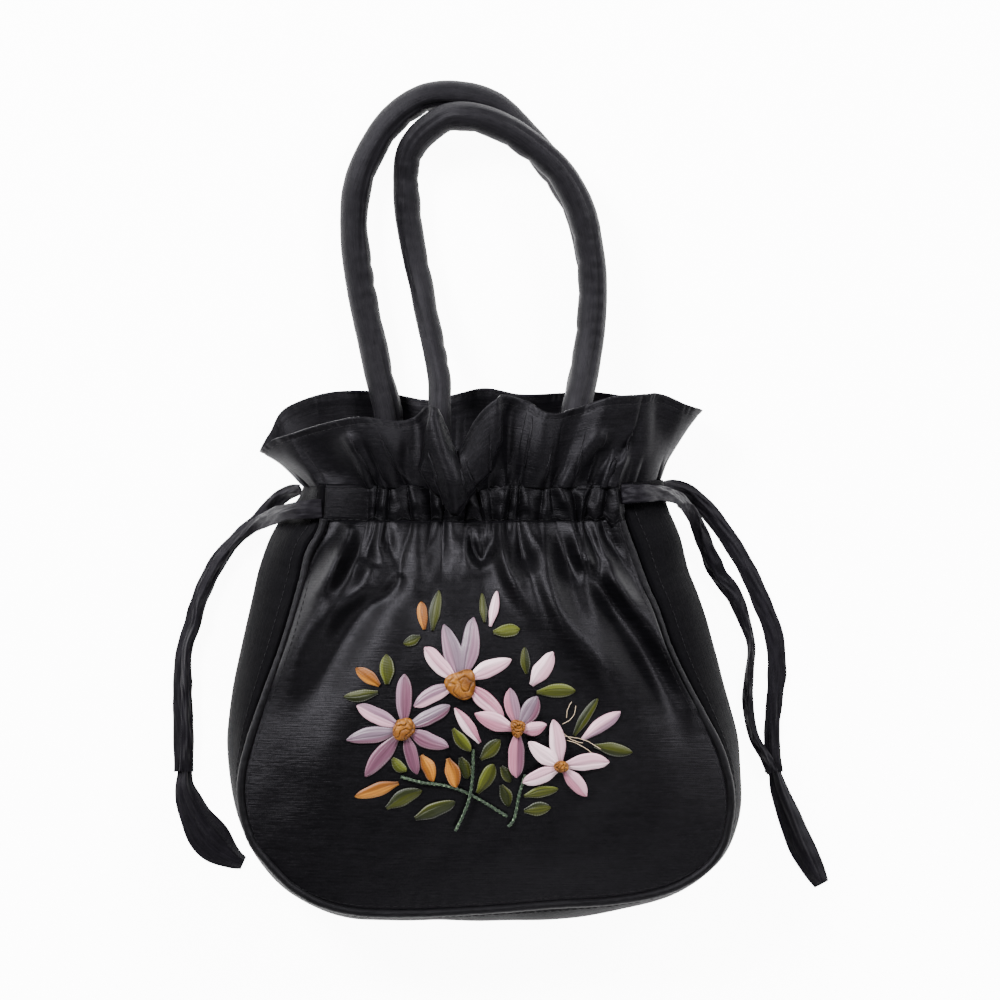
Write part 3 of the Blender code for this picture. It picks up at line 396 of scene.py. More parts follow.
LEAVES = {
    # root across, root down, tip across, tip down, width
    "leaf_top_right_1": (0.758, 0.300, 0.742, 0.160, 0.034),
    "leaf_top_right_2": (0.800, 0.348, 0.928, 0.325, 0.060),
    "leaf_top_left_1": (0.504, 0.340, 0.528, 0.145, 0.050),
    "leaf_top_left_2": (0.445, 0.368, 0.362, 0.400, 0.046),
    "leaf_left_1": (0.284, 0.600, 0.275, 0.455, 0.070),
    "leaf_left_2": (0.240, 0.640, 0.075, 0.670, 0.055),
    "leaf_right_1": (0.962, 0.550, 0.955, 0.420, 0.044),
    "leaf_right_2": (1.010, 0.640, 1.200, 0.635, 0.062),
    "leaf_far_right_1": (1.192, 0.850, 1.308, 0.670, 0.048),
    "leaf_far_right_2": (1.290, 0.900, 1.475, 0.940, 0.058),
    "leaf_low_1": (0.310, 0.960, 0.372, 1.030, 0.050),
    "leaf_low_2": (0.280, 1.205, 0.450, 1.110, 0.070),
    "leaf_low_3": (0.420, 1.255, 0.612, 1.165, 0.070),
    "leaf_middle_1": (0.604, 0.815, 0.690, 0.925, 0.056),
    "leaf_middle_2": (0.738, 0.965, 0.835, 0.870, 0.064),
    "leaf_middle_3": (0.640, 0.955, 0.676, 1.060, 0.054),
    "leaf_middle_4": (0.722, 1.130, 0.806, 0.990, 0.062),
    "leaf_middle_5": (0.838, 1.000, 0.886, 1.075, 0.050),
    "leaf_middle_6": (0.838, 1.090, 0.878, 1.195, 0.056),
    "leaf_right_low_1": (0.950, 1.146, 1.115, 1.108, 0.050),
    "leaf_right_low_2": (0.950, 1.218, 1.080, 1.200, 0.062),
}
STEMS = {
    # across, down
    "stem_left": ((0.350, 1.050), (0.450, 1.078), (0.560, 1.092), (0.670, 1.128),
                  (0.780, 1.190), (0.868, 1.245)),
    "stem_middle": ((0.702, 0.915), (0.700, 1.040), (0.682, 1.160), (0.650, 1.245),
                    (0.615, 1.315)),
    "stem_right": ((0.955, 1.040), (0.925, 1.140), (0.912, 1.210), (0.897, 1.265),
                   (0.872, 1.295)),
}
ORANGE_BUDS = ("bud_top_left", "bud_left", "bud_orange_1", "bud_orange_2", "bud_orange_3")

# Lengths that follow from those above, or belong to the finer cloth of this script
NECK_BACK = 3.0 * MM
NECK_CROWN = 2.0 * MM
BACK_GATHER = 0.3
SEAM_INSET = PIPING_RADIUS + GAP + 0.4 * MM
PANEL_TOP = -CASING_WIDTH - GAP
THIN = 0.7 * MM
SEWN_IN = 0.8 * MM
PANEL_TUCK = 2.4 * MM
RUFFLE_TUCK = 1.8 * MM
PETAL_WALL = 0.22 * MM
THREAD_RADIUS = 0.10 * MM
STITCH, STITCH_GAP, STITCH_LIFT = 2.3 * MM, 0.7 * MM, 0.08 * MM

# Points round each rod, and over the face of a flat ribbon or drop
PIPING_SIDES = 14
HANDLE_SIDES = 40
STEM_SIDES = 18
KNOT_SIDES = 64
HUB_SIDES = 24
THREAD_SIDES = 8
STITCH_SIDES = 6
TIE_FACE = 15
DROP_FACE = 21

# The photograph's grid: its pixel at the tables' origin, and the length of one pixel
PICTURE_X, PICTURE_Y = 483.0, 484.0
PICTURE_STEP = BAG_WIDTH / 520.0

for old in list(bpy.data.objects):
    if old.type in {"CAMERA", "LIGHT"}:
        bpy.data.objects.remove(old, do_unlink=True)


def from_picture(points):
    """Places on the photograph's grid as lengths, measured from its origin pixel."""
    rows = np.asarray(points, float)
    return np.column_stack((rows[:, 0] - PICTURE_X, PICTURE_Y - rows[:, 1])) * PICTURE_STEP


def ease(value, low, high):
    """0 below low, 1 above high, and 3 p^2 - 2 p^3 between."""
    part = np.clip((np.asarray(value, float) - low) / (high - low), 0.0, 1.0)
    return part * part * (3.0 - 2.0 * part)


def bell(value, half):
    """Bell curve exp(-(value / half)^2)."""
    return np.exp(-(value / half) ** 2)


def hump(share):
    """Half a sine wave, sin(pi share): 0 at 0, 1 in the middle and 0 at 1."""
    return np.sin(math.pi * share)


def circle(count):
    """Angles of evenly spaced places round a circle."""
    return TURN * np.arange(count) / count


def wrapped(angle):
    """Angle brought between minus and plus half a turn."""
    return np.angle(np.exp(1j * angle))


def tent(s, ridge):
    """Straight rise from 0 at both edges, s -1 and 1, to 1 at the ridge."""
    return np.where(s > ridge, (1.0 - s) / (1.0 - ridge), (1.0 + s) / (1.0 + ridge))


def running_mean(values, reach):
    """Mean with the neighbours within reach on both sides; the ends are repeated."""
    wide = 2 * reach + 1
    return np.convolve(np.pad(values, reach, mode="edge"), np.ones(wide) / wide, mode="valid")


def shares(rows, cols):
    """Shares from 0 to 1 down a grid, as a column, and across it, as a row."""
    return np.linspace(0.0, 1.0, rows)[:, None], np.linspace(0.0, 1.0, cols)[None, :]


def summed(steps):
    """Sum of the steps so far, from 0."""
    return np.concatenate(([0.0], np.cumsum(steps)))


def read_at(places, run, rows):
    """Each column of rows read at places along the run, by straight lines in between."""
    return np.stack([np.interp(places, run, column) for column in rows.T], axis=-1)


def unit(vectors):
    """Vectors scaled to length one."""
    return vectors / np.maximum(np.linalg.norm(vectors, axis=-1, keepdims=True), 1e-12)


def arc(line):
    """Length run along a line of points, from 0 at its first point."""
    return summed(np.linalg.norm(np.diff(line, axis=0), axis=1))


def hermite(rows, at, fine):
    """Cubic Hermite curve through rows placed at the values "at", read at "fine"."""
    slope = np.gradient(rows, at, axis=0)
    k = np.clip(np.searchsorted(at, fine, side="right") - 1, 0, len(at) - 2)
    step = (at[k + 1] - at[k])[:, None]
    t = (fine - at[k])[:, None] / step
    start = (2 * t ** 3 - 3 * t ** 2 + 1) * rows[k] + (t ** 3 - 2 * t ** 2 + t) * step * slope[k]
    end = (3 * t ** 2 - 2 * t ** 3) * rows[k + 1] + (t ** 3 - t ** 2) * step * slope[k + 1]
    return start + end


def even_curve(rows, count, axes=2):
    """Evenly spaced points of the smooth curve through rows; the first axes are lengths."""
    rows = np.asarray(rows, float)
    at = summed(np.sqrt(np.linalg.norm(np.diff(rows[:, :axes], axis=0), axis=1)))
    curve = hermite(rows, at, np.linspace(0.0, at[-1], 30 * len(rows)))
    run = arc(curve[:, :axes])
    return read_at(np.linspace(0.0, run[-1], count), run, curve)


def ripple(seed, pitch, *places):
    """Soft even noise, mostly from -1 to 1: twice the mean of nine sine waves of random
    direction and phase, with wavelengths from 0.6 to 1.7 times pitch."""
    draw = np.random.default_rng(seed)
    total = 0.0
    for _ in range(9):
        heading = unit(draw.normal(size=len(places)))
        wave = pitch * draw.uniform(0.6, 1.7)
        run = sum(h * place for h, place in zip(heading, places))
        total = total + np.sin(TURN * run / wave + draw.uniform(0.0, 6.28))
    return total / 4.5


def pleated(seed, x, pitch):
    """Row of pleats from -1 to 1: round backs and sharp valleys, |sin| of a place whose
    spacing wanders with two slower sines."""
    draw = np.random.default_rng(seed)
    turn = math.pi * x / pitch
    a, b = draw.uniform(0.0, 6.28, 2)
    turn = turn + 0.9 * np.sin(turn * 0.47 + a) + 0.6 * np.sin(turn * 0.83 + b)
    return 2.0 * np.abs(np.sin(turn)) ** 0.8 - 1.2


def placed(rows):
    """Table rows with across, down and high turned into lengths."""
    made = np.array(rows, float)
    made[:, 0] *= BAG_WIDTH
    made[:, 1] *= -BODY_HEIGHT
    if made.shape[1] > 2:
        made[:, 2] *= BODY_DEPTH
    return made


# Seam line as a fine curve: place, bulge and the outward direction in the XY plane
seam_rows = placed(SEAM)
seam_rows[:, 2] = SEAM[:, 2] * BAG_WIDTH
seam = even_curve(np.column_stack((seam_rows, np.arange(len(SEAM)))), 800)
seam_step = unit(np.gradient(seam[:, :2], axis=0))
seam_out = np.column_stack((seam_step[:, 1], -seam_step[:, 0]))
seam_at = np.arange(len(seam), dtype=float)
BEFORE_BOTTOM = seam_at < len(seam) / 2


def seam_read(at):
    """Place, bulge and outward direction of the seam line at fine positions."""
    return read_at(at, seam_at, np.column_stack((seam[:, :3], seam_out)))


def seam_at_height(y, left):
    """Fine position where the seam line passes the height y on one side."""
    half = BEFORE_BOTTOM if left else ~BEFORE_BOTTOM
    nearest = np.abs(seam[half, 1] - y).argmin()
    return seam_at[half][nearest]


def front_high(y):
    """Height of the front seam above the surface."""
    return NECK_DEPTH + (FRONT_SEAM_HIGH - NECK_DEPTH) * ease(-y / BODY_HEIGHT, 0.0, 0.45)


def back_high(y):
    """Height of the back seam above the surface."""
    return NECK_BACK + (BACK_SEAM_HIGH - NECK_BACK) * ease(-y / BODY_HEIGHT, 0.0, 0.20)


def gusset_section(read, t, tuck=SEAM_INSET * 0.64, drop=SEAM_INSET * 0.77):
    """Points across the gusset, from the back seam (t 0) to the front seam (t 1): it
    stands out by the bulge times sin(pi t) to the power 0.7, starting tuck outside the
    seam line and drop short of its height."""
    out = tuck + (read[..., 2] - tuck) * hump(t) ** 0.7
    low = back_high(read[..., 1]) + drop
    high = front_high(read[..., 1]) - drop
    x = read[..., 0] + read[..., 3] * out
    y = read[..., 1] + read[..., 4] * out
    return np.stack((x, y, low + (high - low) * t), axis=-1)


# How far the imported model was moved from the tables' frame: the gusset is laid out on the
# packed one's own grid, and the low corners of the two are compared
plain_at = seam_read(np.repeat(np.linspace(0.0, len(seam) - 1.0, 44), 6)).reshape(44, 6, 5)
plain = gusset_section(plain_at, np.linspace(0.0, 1.0, 6)[None, :])
packed_low = np.array(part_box("gusset")[0])
SHIFT = np.array((*(packed_low[:2] - plain.reshape(-1, 3).min(axis=0)[:2]), 0.0))


def in_scene(name, data):
    """New object of the scene, holding a mesh, a camera or a light."""
    made = bpy.data.objects.new(name, data)
    bpy.context.scene.collection.objects.link(made)
    return made


# Camera straight above, at the photograph's angle
camera_data = bpy.data.cameras.new("camera")
camera_data.sensor_width = 36.0
camera_data.lens = 252.0
camera_data.clip_end = 20.0
camera = in_scene("camera", camera_data)
camera.location = (7.2 * MM + SHIFT[0], -6.8 * MM + SHIFT[1], 3.0)
bpy.context.scene.camera = camera


def srgb(red, green, blue):
    """Colour named by its screen values, 0 to 255, as linear light."""
    share = np.array((red, green, blue), float) / 255.0
    return np.where(share <= 0.04045, share / 12.92, ((share + 0.055) / 1.055) ** 2.4)


# Looks
def node(tree, kind, settings=None, **sockets):
    """New shader node with its settings, and the named input values set or linked; i and a
    number names an input by its place."""
    made = tree.nodes.new(kind)
    for key, value in (settings or {}).items():
        setattr(made, key, value)
    for key, value in sockets.items():
        socket = made.inputs[int(key[1:])] if key[0] == "i" and key[1:].isdigit() \
            else made.inputs[key.replace("_", " ")]
        if isinstance(value, bpy.types.NodeSocket):
            tree.links.new(value, socket)
        else:
            socket.default_value = value
    return made


def noise(tree, place, scale, detail, **sockets):
    """Noise at a place."""
    return node(tree, "ShaderNodeTexNoise", Vector=place, Scale=scale, Detail=detail,
                **sockets).outputs["Fac"]


def scaled(tree, place, factors):
    """Place multiplied by three factors."""
    return node(tree, "ShaderNodeVectorMath", {"operation": "MULTIPLY"}, i0=place,
                i1=factors).outputs[0]


def times_plus(tree, value, factor, more):
    """The value times a factor, plus more."""
    return node(tree, "ShaderNodeMath", {"operation": "MULTIPLY_ADD"}, i0=value, i1=factor,
                i2=more).outputs[0]


def spread(tree, value, low, high):
    """The value's share of the way from low to high, from 0 to 1."""
    return node(tree, "ShaderNodeMapRange", Value=value, From_Min=low, From_Max=high,
                To_Min=0.0, To_Max=1.0).outputs[0]


def mixed(tree, share, first, second, blend="MIX"):
    """Colour mixed from two by a share."""
    return node(tree, "ShaderNodeMix", {"data_type": "RGBA", "blend_type": blend}, i0=share,
                i6=first, i7=second).outputs[2]


def bumped(tree, height, strength, distance, **sockets):
    """Normal bent by a height."""
    return node(tree, "ShaderNodeBump", Strength=strength, Distance=distance, Height=height,
                **sockets).outputs[0]


GIVEN = (("Color", "Color"), ("Roughness", "Float"), ("Normal", "Vector"))


def new_group(name, **takes):
    """Empty shader node group with the named inputs and the outputs given by all cloths."""
    tree = bpy.data.node_groups.new(name, "ShaderNodeTree")
    for side, sockets in (("INPUT", takes.items()), ("OUTPUT", GIVEN)):
        for label, kind in sockets:
            tree.interface.new_socket(label, in_out=side, socket_type="NodeSocket" + kind)
    return tree, tree.nodes.new("NodeGroupInput").outputs


def give(tree, *results):
    """Links the results to the group's outputs."""
    end = tree.nodes.new("NodeGroupOutput")
    for (label, _), result in zip(GIVEN, results):
        tree.links.new(result, end.inputs[label])


def satin_group():
    """Satin cloth. Place is a flat place on the cloth in metres, with the slubs along u.
    Slubs are noise stretched 16 to 1 along u, in broader bands of such noise; the weave is a
    fine twill wave, and crumple is soft noise. The colour goes from dark to light with the
    slubs, the roughness rises with them, and all three bend the normal."""
    tree, takes = new_group("satin cloth", Place="Vector", Dark="Color", Light="Color",
                            Smooth="Float", Crumple="Float")
    place = takes["Place"]
    slub = noise(tree, scaled(tree, place, (120.0, 1900.0, 900.0)), 1.0, 3.0, Roughness=0.6)
    band = noise(tree, scaled(tree, place, (30.0, 420.0, 200.0)), 1.0, 2.0)
    twill = node(tree, "ShaderNodeTexWave", {"wave_type": "BANDS", "bands_direction": "DIAGONAL"},
                 Vector=scaled(tree, place, (1500.0, 3600.0, 1.0)), Scale=1.0, Distortion=0.6,
                 Detail=1.0)
    soft = noise(tree, place, 95.0, 3.0, Roughness=0.5, Distortion=0.4)
    share = spread(tree, times_plus(tree, band, 0.45, slub), 0.45, 1.0)
    normal = bumped(tree, soft, takes["Crumple"], 0.0012)
    normal = bumped(tree, slub, 0.9, 0.00022, Normal=normal)
    normal = bumped(tree, twill.outputs["Fac"], 0.25, 0.00004, Normal=normal)
    give(tree, mixed(tree, share, takes["Dark"], takes["Light"]),
         times_plus(tree, share, 0.16, takes["Smooth"]), normal)
    return tree


def ribbon_group():
    """Silk ribbon. Place is u across and v along one stitch, both 0 to 1. Ribs are noise
    stretched along v, with finer ones among them. The tone is darkened in the ribs' valleys
    as painted shade, and both bend the normal."""
    tree, takes = new_group("silk ribbon", Place="Vector", Tone="Color", Ribs="Float",
                            Deep="Float", Smooth="Float")
    place, tone = takes["Place"], takes["Tone"]
    across = node(tree, "ShaderNodeCombineXYZ", X=takes["Ribs"], Y=0.7, Z=1.0)
    rib = noise(tree, scaled(tree, place, across.outputs[0]), 1.0, 2.5)
    fine = noise(tree, scaled(tree, place, (60.0, 2.5, 1.0)), 1.0, 1.0)
    # Painted shade: the tone darkened by itself, by Deep, for the ribs' valleys
    dark = mixed(tree, takes["Deep"], tone, tone, "MULTIPLY")
    normal = bumped(tree, rib, 0.5, 0.0004)
    give(tree, mixed(tree, spread(tree, rib, 0.30, 0.62), dark, tone),
         times_plus(tree, fine, 0.20, takes["Smooth"]),
         bumped(tree, fine, 0.35, 0.0001, Normal=normal))
    return tree


SATIN_CLOTH = satin_group()
SILK_RIBBON = ribbon_group()
ALONG, ACROSS = math.pi / 2.0, 0.0


def new_material(name, **inputs):
    """New material with its node tree and its shader, whose inputs are set by name."""
    made = bpy.data.materials.new(name)
    made.use_nodes = True
    shader = made.node_tree.nodes["Principled BSDF"]
    for label, value in inputs.items():
        shader.inputs[label.replace("_", " ")].default_value = value
    return made, made.node_tree, shader


def dress(tree, shader, group, **takes):
    """Links a cloth group's colour, roughness and normal to a material's shader."""
    cloth = node(tree, "ShaderNodeGroup", {"node_tree": group}, **takes)
    for label, _ in GIVEN:
        target = "Base Color" if label == "Color" else label
        tree.links.new(cloth.outputs[label], shader.inputs[target])


def satin(name, dark, light, smooth, crumple, slubs, gloss):
    """Black satin on the piece's own flat places, with slubs across or along the piece."""
    made, tree, shader = new_material(
        name, Specular_IOR_Level=gloss, Specular_Tint=(0.93, 0.90, 1.0, 1.0), Sheen_Weight=0.01,
        Sheen_Roughness=0.45, Sheen_Tint=(0.86, 0.82, 0.95, 1.0))
    flat = node(tree, "ShaderNodeUVMap", {"uv_map": "Cloth"})
    turned = node(tree, "ShaderNodeMapping", Vector=flat.outputs[0], Rotation=(0.0, 0.0, slubs))
    dress(tree, shader, SATIN_CLOTH, Place=turned.outputs[0], Dark=(*dark, 1.0),
          Light=(*light, 1.0), Smooth=smooth, Crumple=crumple)
    return made


def silk(name, ribs, deep, smooth, sheen, gloss):
    """Silk ribbon whose tone is painted on the piece, with lengthwise ribs."""
    made, tree, shader = new_material(name, Specular_IOR_Level=gloss, Sheen_Weight=sheen,
                                      Sheen_Roughness=0.4)
    flat = node(tree, "ShaderNodeUVMap", {"uv_map": "Cloth"})
    tone = node(tree, "ShaderNodeAttribute", {"attribute_name": "Tone"})
    dress(tree, shader, SILK_RIBBON, Place=flat.outputs[0], Tone=tone.outputs["Color"],
          Ribs=ribs, Deep=deep, Smooth=smooth)
    return made


# Satins: dark, light, smooth, crumple, way of the slubs, gloss
# The one black satin is given lit and shaded copies: the handles and the ruffle take lighter
# colours than the body and the gusset a darker light colour, painting how brightly each piece is
# lit
BLACK = (0.0005, 0.0005, 0.0006)
BLACK_LIGHT = (0.0024, 0.0022, 0.0029)
BODY_SATIN = satin("body satin", BLACK, BLACK_LIGHT, 0.30, 0.22, ACROSS, 0.13)
SIDE_SATIN = satin("gusset satin", BLACK, (0.0016, 0.0015, 0.0021), 0.44, 0.22, ALONG, 0.03)
FRILL_SATIN = satin("ruffle satin", (0.0006, 0.0006, 0.0008), (0.0032, 0.0029, 0.0039),
                    0.36, 0.22, ACROSS, 0.13)
BAND_SATIN = satin("casing satin", BLACK, BLACK_LIGHT, 0.33, 0.35, ACROSS, 0.08)
HANDLE_SATIN = satin("handle satin", (0.0020, 0.0019, 0.0024), (0.0080, 0.0074, 0.0092),
                     0.44, 0.16, ALONG, 0.13)
PIPING_SATIN = satin("piping satin", BLACK, (0.0040, 0.0039, 0.0044), 0.42, 0.35, ALONG, 0.12)
TIE_SATIN = satin("tie satin", (0.0012, 0.0010, 0.0015), (0.0065, 0.0056, 0.0080),
                  0.44, 0.4, ALONG, 0.12)
BLACK_THREAD = satin("black thread", (0.0014, 0.0014, 0.0015), (0.008, 0.008, 0.0085),
                     0.5, 0.2, ACROSS, 0.16)
# Silks: ribs, strength of the painted shade in the ribs' valleys, smooth, sheen, gloss
PINK_SILK = silk("pink silk", 9.0, 0.45, 0.30, 0.06, 0.5)
LEAF_SILK = silk("leaf silk", 7.0, 0.5, 0.36, 0.0, 0.22)
ORANGE_SILK = silk("orange silk", 8.0, 0.6, 0.38, 0.0, 0.3)
STEM_THREAD = silk("stem thread", 5.0, 0.7, 0.42, 0.06, 0.5)
STRAY_THREAD = silk("stray thread", 3.0, 0.3, 0.4, 0.06, 0.5)


# Pieces from arrays: points, faces (arrays of equal-sided rows), one flat place for each
# face corner, and a tone for each point or None
def put_mesh(name, arrays, look, stands_for=()):
    """Piece at rest. Its faces are turned about if the volume they enclose is negative."""
    points, faces, flat, tone = arrays
    inside = 0.0
    for rows in faces:
        for k in range(1, rows.shape[1] - 1):
            a, b, c = points[rows[:, 0]], points[rows[:, k]], points[rows[:, k + 1]]
            inside += np.einsum("ij,ij->i", a, np.cross(b, c)).sum()
    if inside < 0.0:
        faces = [rows[:, ::-1] for rows in faces]
        flat = [rows[:, ::-1] for rows in flat]
    mesh = bpy.data.meshes.new(name)
    mesh.from_pydata((points + SHIFT).tolist(), [],
                     [row for rows in faces for row in rows.tolist()])
    layer = mesh.uv_layers.new(name="Cloth")
    layer.data.foreach_set("uv", np.concatenate([rows.reshape(-1) for rows in flat]))
    if tone is not None:
        paint = mesh.attributes.new("Tone", "FLOAT_COLOR", "POINT")
        paint.data.foreach_set("color", np.column_stack((tone, np.ones(len(points)))).ravel())
    mesh.polygons.foreach_set("use_smooth", [True] * len(mesh.polygons))
    mesh.materials.append(look)
    made = in_scene(name, mesh)
    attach(made, "root")
    if stands_for:
        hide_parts(*stands_for)
    return made


def closed(grid, ring):
    """The grid, for a ring with its first column again at the end."""
    return np.concatenate((grid, grid[:, :1]), axis=1) if ring else grid


def flat_places(grid, ring=False):
    """Flat place of each grid point in metres: the mean run across and down the grid."""
    over = np.linalg.norm(np.diff(closed(grid, ring), axis=1), axis=-1).mean(axis=0)
    down = np.linalg.norm(np.diff(grid, axis=0), axis=-1).mean(axis=1)
    return np.stack(np.broadcast_arrays(summed(over)[None, :], summed(down)[:, None]), axis=-1)


def normals(grid, ring=False):
    """Outward directions of a grid: its steps down crossed with its steps across."""
    over = np.roll(grid, -1, axis=1) - np.roll(grid, 1, axis=1) if ring \
        else np.gradient(grid, axis=1)
    return unit(np.cross(np.gradient(grid, axis=0), over))


def cells(rows, cols, ring):
    """Point numbers at the four corners of each cell of a grid. After a ring's last column
    comes its first."""
    r, c = np.meshgrid(np.arange(rows - 1), np.arange(cols if ring else cols - 1), indexing="ij")
    n = (c + 1) % cols
    quads = np.stack((r * cols + c, (r + 1) * cols + c, (r + 1) * cols + n, r * cols + n), axis=-1)
    return quads.reshape(-1, 4)


def flat_corners(flat):
    """Flat places at the four corners of each cell."""
    corners = np.stack((flat[:-1, :-1], flat[1:, :-1], flat[1:, 1:], flat[:-1, 1:]), axis=-2)
    return corners.reshape(-1, 4, 2)


def end_caps(count, sides):
    """Point numbers round the first ring and, the other way about, round the last one."""
    return np.stack((np.arange(sides), np.arange(sides)[::-1] + (count - 1) * sides))


def wall_arrays(grid, thick, ring=False, flat=None, tone=None):
    """Closed cloth wall: the grid is its outer face, and the inner face lies thick deeper
    along the grid's normal. The edges are closed by one row of quads."""
    rows, cols = grid.shape[:2]
    size = rows * cols
    inner = grid - thick * normals(grid, ring)
    flat = flat_places(grid, ring) if flat is None else flat
    outer, seen = cells(rows, cols, ring), flat_corners(flat)
    faces, flats = [outer, outer[:, ::-1] + size], [seen, seen[:, ::-1]]
    k = np.arange(cols if ring else cols - 1)
    sides = [(k + at * cols, (k + 1) % cols + at * cols, flat[at, :-1], flat[at, 1:])
             for at in (0, rows - 1)]
    if not ring:
        k = np.arange(rows - 1) * cols
        sides += [(k + at + cols, k + at, flat[1:, at], flat[:-1, at]) for at in (0, cols - 1)]
    for (a, b, flat_a, flat_b), turn in zip(sides, (1, -1, 1, -1)):
        faces.append(np.stack((a, b, b + size, a + size), axis=-1)[:, ::turn])
        flats.append(np.stack((flat_a, flat_b, flat_b, flat_a), axis=1)[:, ::turn])
    points = np.concatenate((grid.reshape(-1, 3), inner.reshape(-1, 3)))
    if tone is not None:
        tone = np.concatenate((tone.reshape(-1, 3),) * 2)
    return points, faces, flats, tone


def cloth(label, grid, look, ring=False, flat=None):
    """Thin cloth wall, named for the part that it replaces."""
    return put_mesh(label + "_cloth", wall_arrays(grid, THIN, ring, flat), look, (label,))


def rod_arrays(sections, flat=None, tone=None):
    """Closed skin through a row of ring sections, with a flat cap at each end. Flat places
    run along the rod as v and round it as u."""
    count, sides = sections.shape[:2]
    flat = flat_places(sections, True) if flat is None else flat
    caps_flat = np.stack((flat[0, :sides], flat[-1, :sides][::-1]))
    tone = None if tone is None else tone.reshape(-1, 3)
    return (sections.reshape(-1, 3), [cells(count, sides, True), end_caps(count, sides)],
            [flat_corners(flat), caps_flat], tone)


def joined(parts):
    """Arrays of several closed parts as those of one piece."""
    points, faces, flats, tones, count = [], [], [], [], 0
    for part_points, part_faces, part_flats, part_tone in parts:
        points.append(part_points)
        faces += [rows + count for rows in part_faces]
        flats += part_flats
        tones.append(part_tone)
        count += len(part_points)
    return (np.concatenate(points), faces, flats,
            None if tones[0] is None else np.concatenate(tones))


def directions(path):
    """Directions along a path, level beside it, and square to both."""
    along = unit(np.gradient(path, axis=0))
    side = unit(np.cross(along, (0.0, 0.0, 1.0)))
    return along, side, np.cross(side, along)


def ring_sections(path, radius, sides):
    """Round sections along a path: centre plus radius times (cos a side + sin a up), where
    side is level and up is square to the path."""
    _, side, up = directions(path)
    angle = circle(sides)
    radius = np.broadcast_to(radius, (len(path), sides))
    ring = np.cos(angle)[..., None] * side[:, None] + np.sin(angle)[..., None] * up[:, None]
    return path[:, None] + radius[..., None] * ring


# Drawstring ends: folded satin ribbons lying on the surface
def tie(name, table, seed):
    """Flat ribbon tube along its route. Across it, s runs from -1 to 1: the sides lie where
    the table's shown width puts them, and the middle rises in a fold as high as the hidden
    width allows, with its ridge wandering from side to side."""
    route = even_curve(placed(table), 220, axes=3)
    shown = route[:, 3]
    half = 0.5 * RIBBON_WIDTH * shown
    roll = np.radians(route[:, 4])
    low = half * np.abs(np.sin(roll)) + 0.5 * RIBBON_THICK * np.cos(roll) + 0.1 * MM
    route[:, 2] = np.maximum(route[:, 2], low)
    centre = route[:, :3]
    run = arc(centre)
    along, side, up = directions(centre)
    wide = np.cos(roll)[:, None] * side + np.sin(roll)[:, None] * up
    thick = np.cross(wide, along)
    s = np.concatenate((np.linspace(-1.0, 1.0, TIE_FACE), np.linspace(1.0, -1.0, TIE_FACE)))
    s, face = s[None, :], np.repeat((1.0, -1.0), TIE_FACE)[None, :]
    ridge = 0.45 * ripple(seed, 34 * MM, run)[:, None]
    spare = np.sqrt(np.clip(1.0 - shown[:, None] ** 2, 0.0, 1.0)) * 0.5 * RIBBON_WIDTH
    ends = ease(run[:, None], 0.0, 8 * MM) * (1.0 - ease(run[:, None], run[-1] - 6 * MM, run[-1]))
    height = 0.55 * spare * tent(s, ridge) ** 1.4 * ends
    height = height + 0.35 * MM * ripple(seed + 1, 9 * MM, run[:, None], 6.0 * s * half[:, None])
    edge = np.sqrt(np.clip(1.0 - s ** 8, 0.0, 1.0))
    lift = height + face * (0.18 * MM + 0.22 * MM * edge)
    aside = half[:, None] * s * (1.0 + 0.06 * ripple(seed + 2, 12 * MM, run)[:, None])
    sections = centre[:, None] + aside[..., None] * wide[:, None] + lift[..., None] * thick[:, None]
    sections[..., 2] = np.maximum(sections[..., 2], 0.1 * MM + 0.15 * MM * (face > 0))
    made = put_mesh(name + "_ribbon", rod_arrays(sections), TIE_SATIN, (name,))


def drop(name, table, seed):
    """Leaf of folded satin at a tie's end. Its half width follows the table, its top is a
    lens with a fold running down it, and its underside lies just over the surface."""
    path = placed(table[:, :2])
    path = np.vstack((path[0] - 3.2 * MM * unit(path[1] - path[0]), path))
    width = np.concatenate((table[:1, 2] * 0.92, table[:, 2])) * BAG_WIDTH
    path = even_curve(np.column_stack((path, width)), 94)
    t = np.linspace(0.0, 1.0, len(path))[:, None]
    along = unit(np.gradient(path[:, :2], axis=0))
    side = np.column_stack((along[:, 1], -along[:, 0]))
    s = np.concatenate((np.linspace(-1.0, 1.0, DROP_FACE),
                        np.linspace(1.0, -1.0, DROP_FACE)[1:-1]))[None, :]
    face = np.repeat((1.0, 0.0), (DROP_FACE, DROP_FACE - 2))[None, :]
    crest = tent(s, -0.15 + 0.25 * np.sin(2.2 * t + seed))
    lens = np.clip(1.0 - s ** 2, 0.0, 1.0) ** 0.5
    creases = bell(s - 0.45 + 0.5 * t, 0.12) + bell(s + 0.5 - 0.3 * t, 0.1)
    top = DROP_THICK * (0.5 + 0.5 * hump(t) ** 0.7) \
        * (0.25 * lens + 0.75 * crest ** 1.2 * lens ** 0.5)
    top = top - 0.5 * MM * creases * lens + 0.3 * MM * ripple(seed, 9 * MM, s * 9 * MM, t * 40 * MM)
    high = np.where(face > 0, np.maximum(top, 0.35 * MM) + 0.1 * MM, 0.1 * MM)
    aside = 0.5 * path[:, 2:3] * s * (1.0 + 0.05 * ripple(seed + 4, 14 * MM, 46 * MM * t))
    flat = path[:, None, :2] + aside[..., None] * side[:, None]
    sections = np.concatenate((flat, high[..., None]), axis=-1)
    return put_mesh(name + "_leaf", rod_arrays(sections), TIE_SATIN, (name,))


left_leaf = drop("left_drop", LEFT_DROP, 3)
right_leaf = drop("right_drop", RIGHT_DROP, 5)
tie("left_tie_front", LEFT_TIE_FRONT, 11)
tie("left_tie_back", LEFT_TIE_BACK, 21)
tie("right_tie_front", RIGHT_TIE_FRONT, 31)
tie("right_tie_back", RIGHT_TIE_BACK, 41)


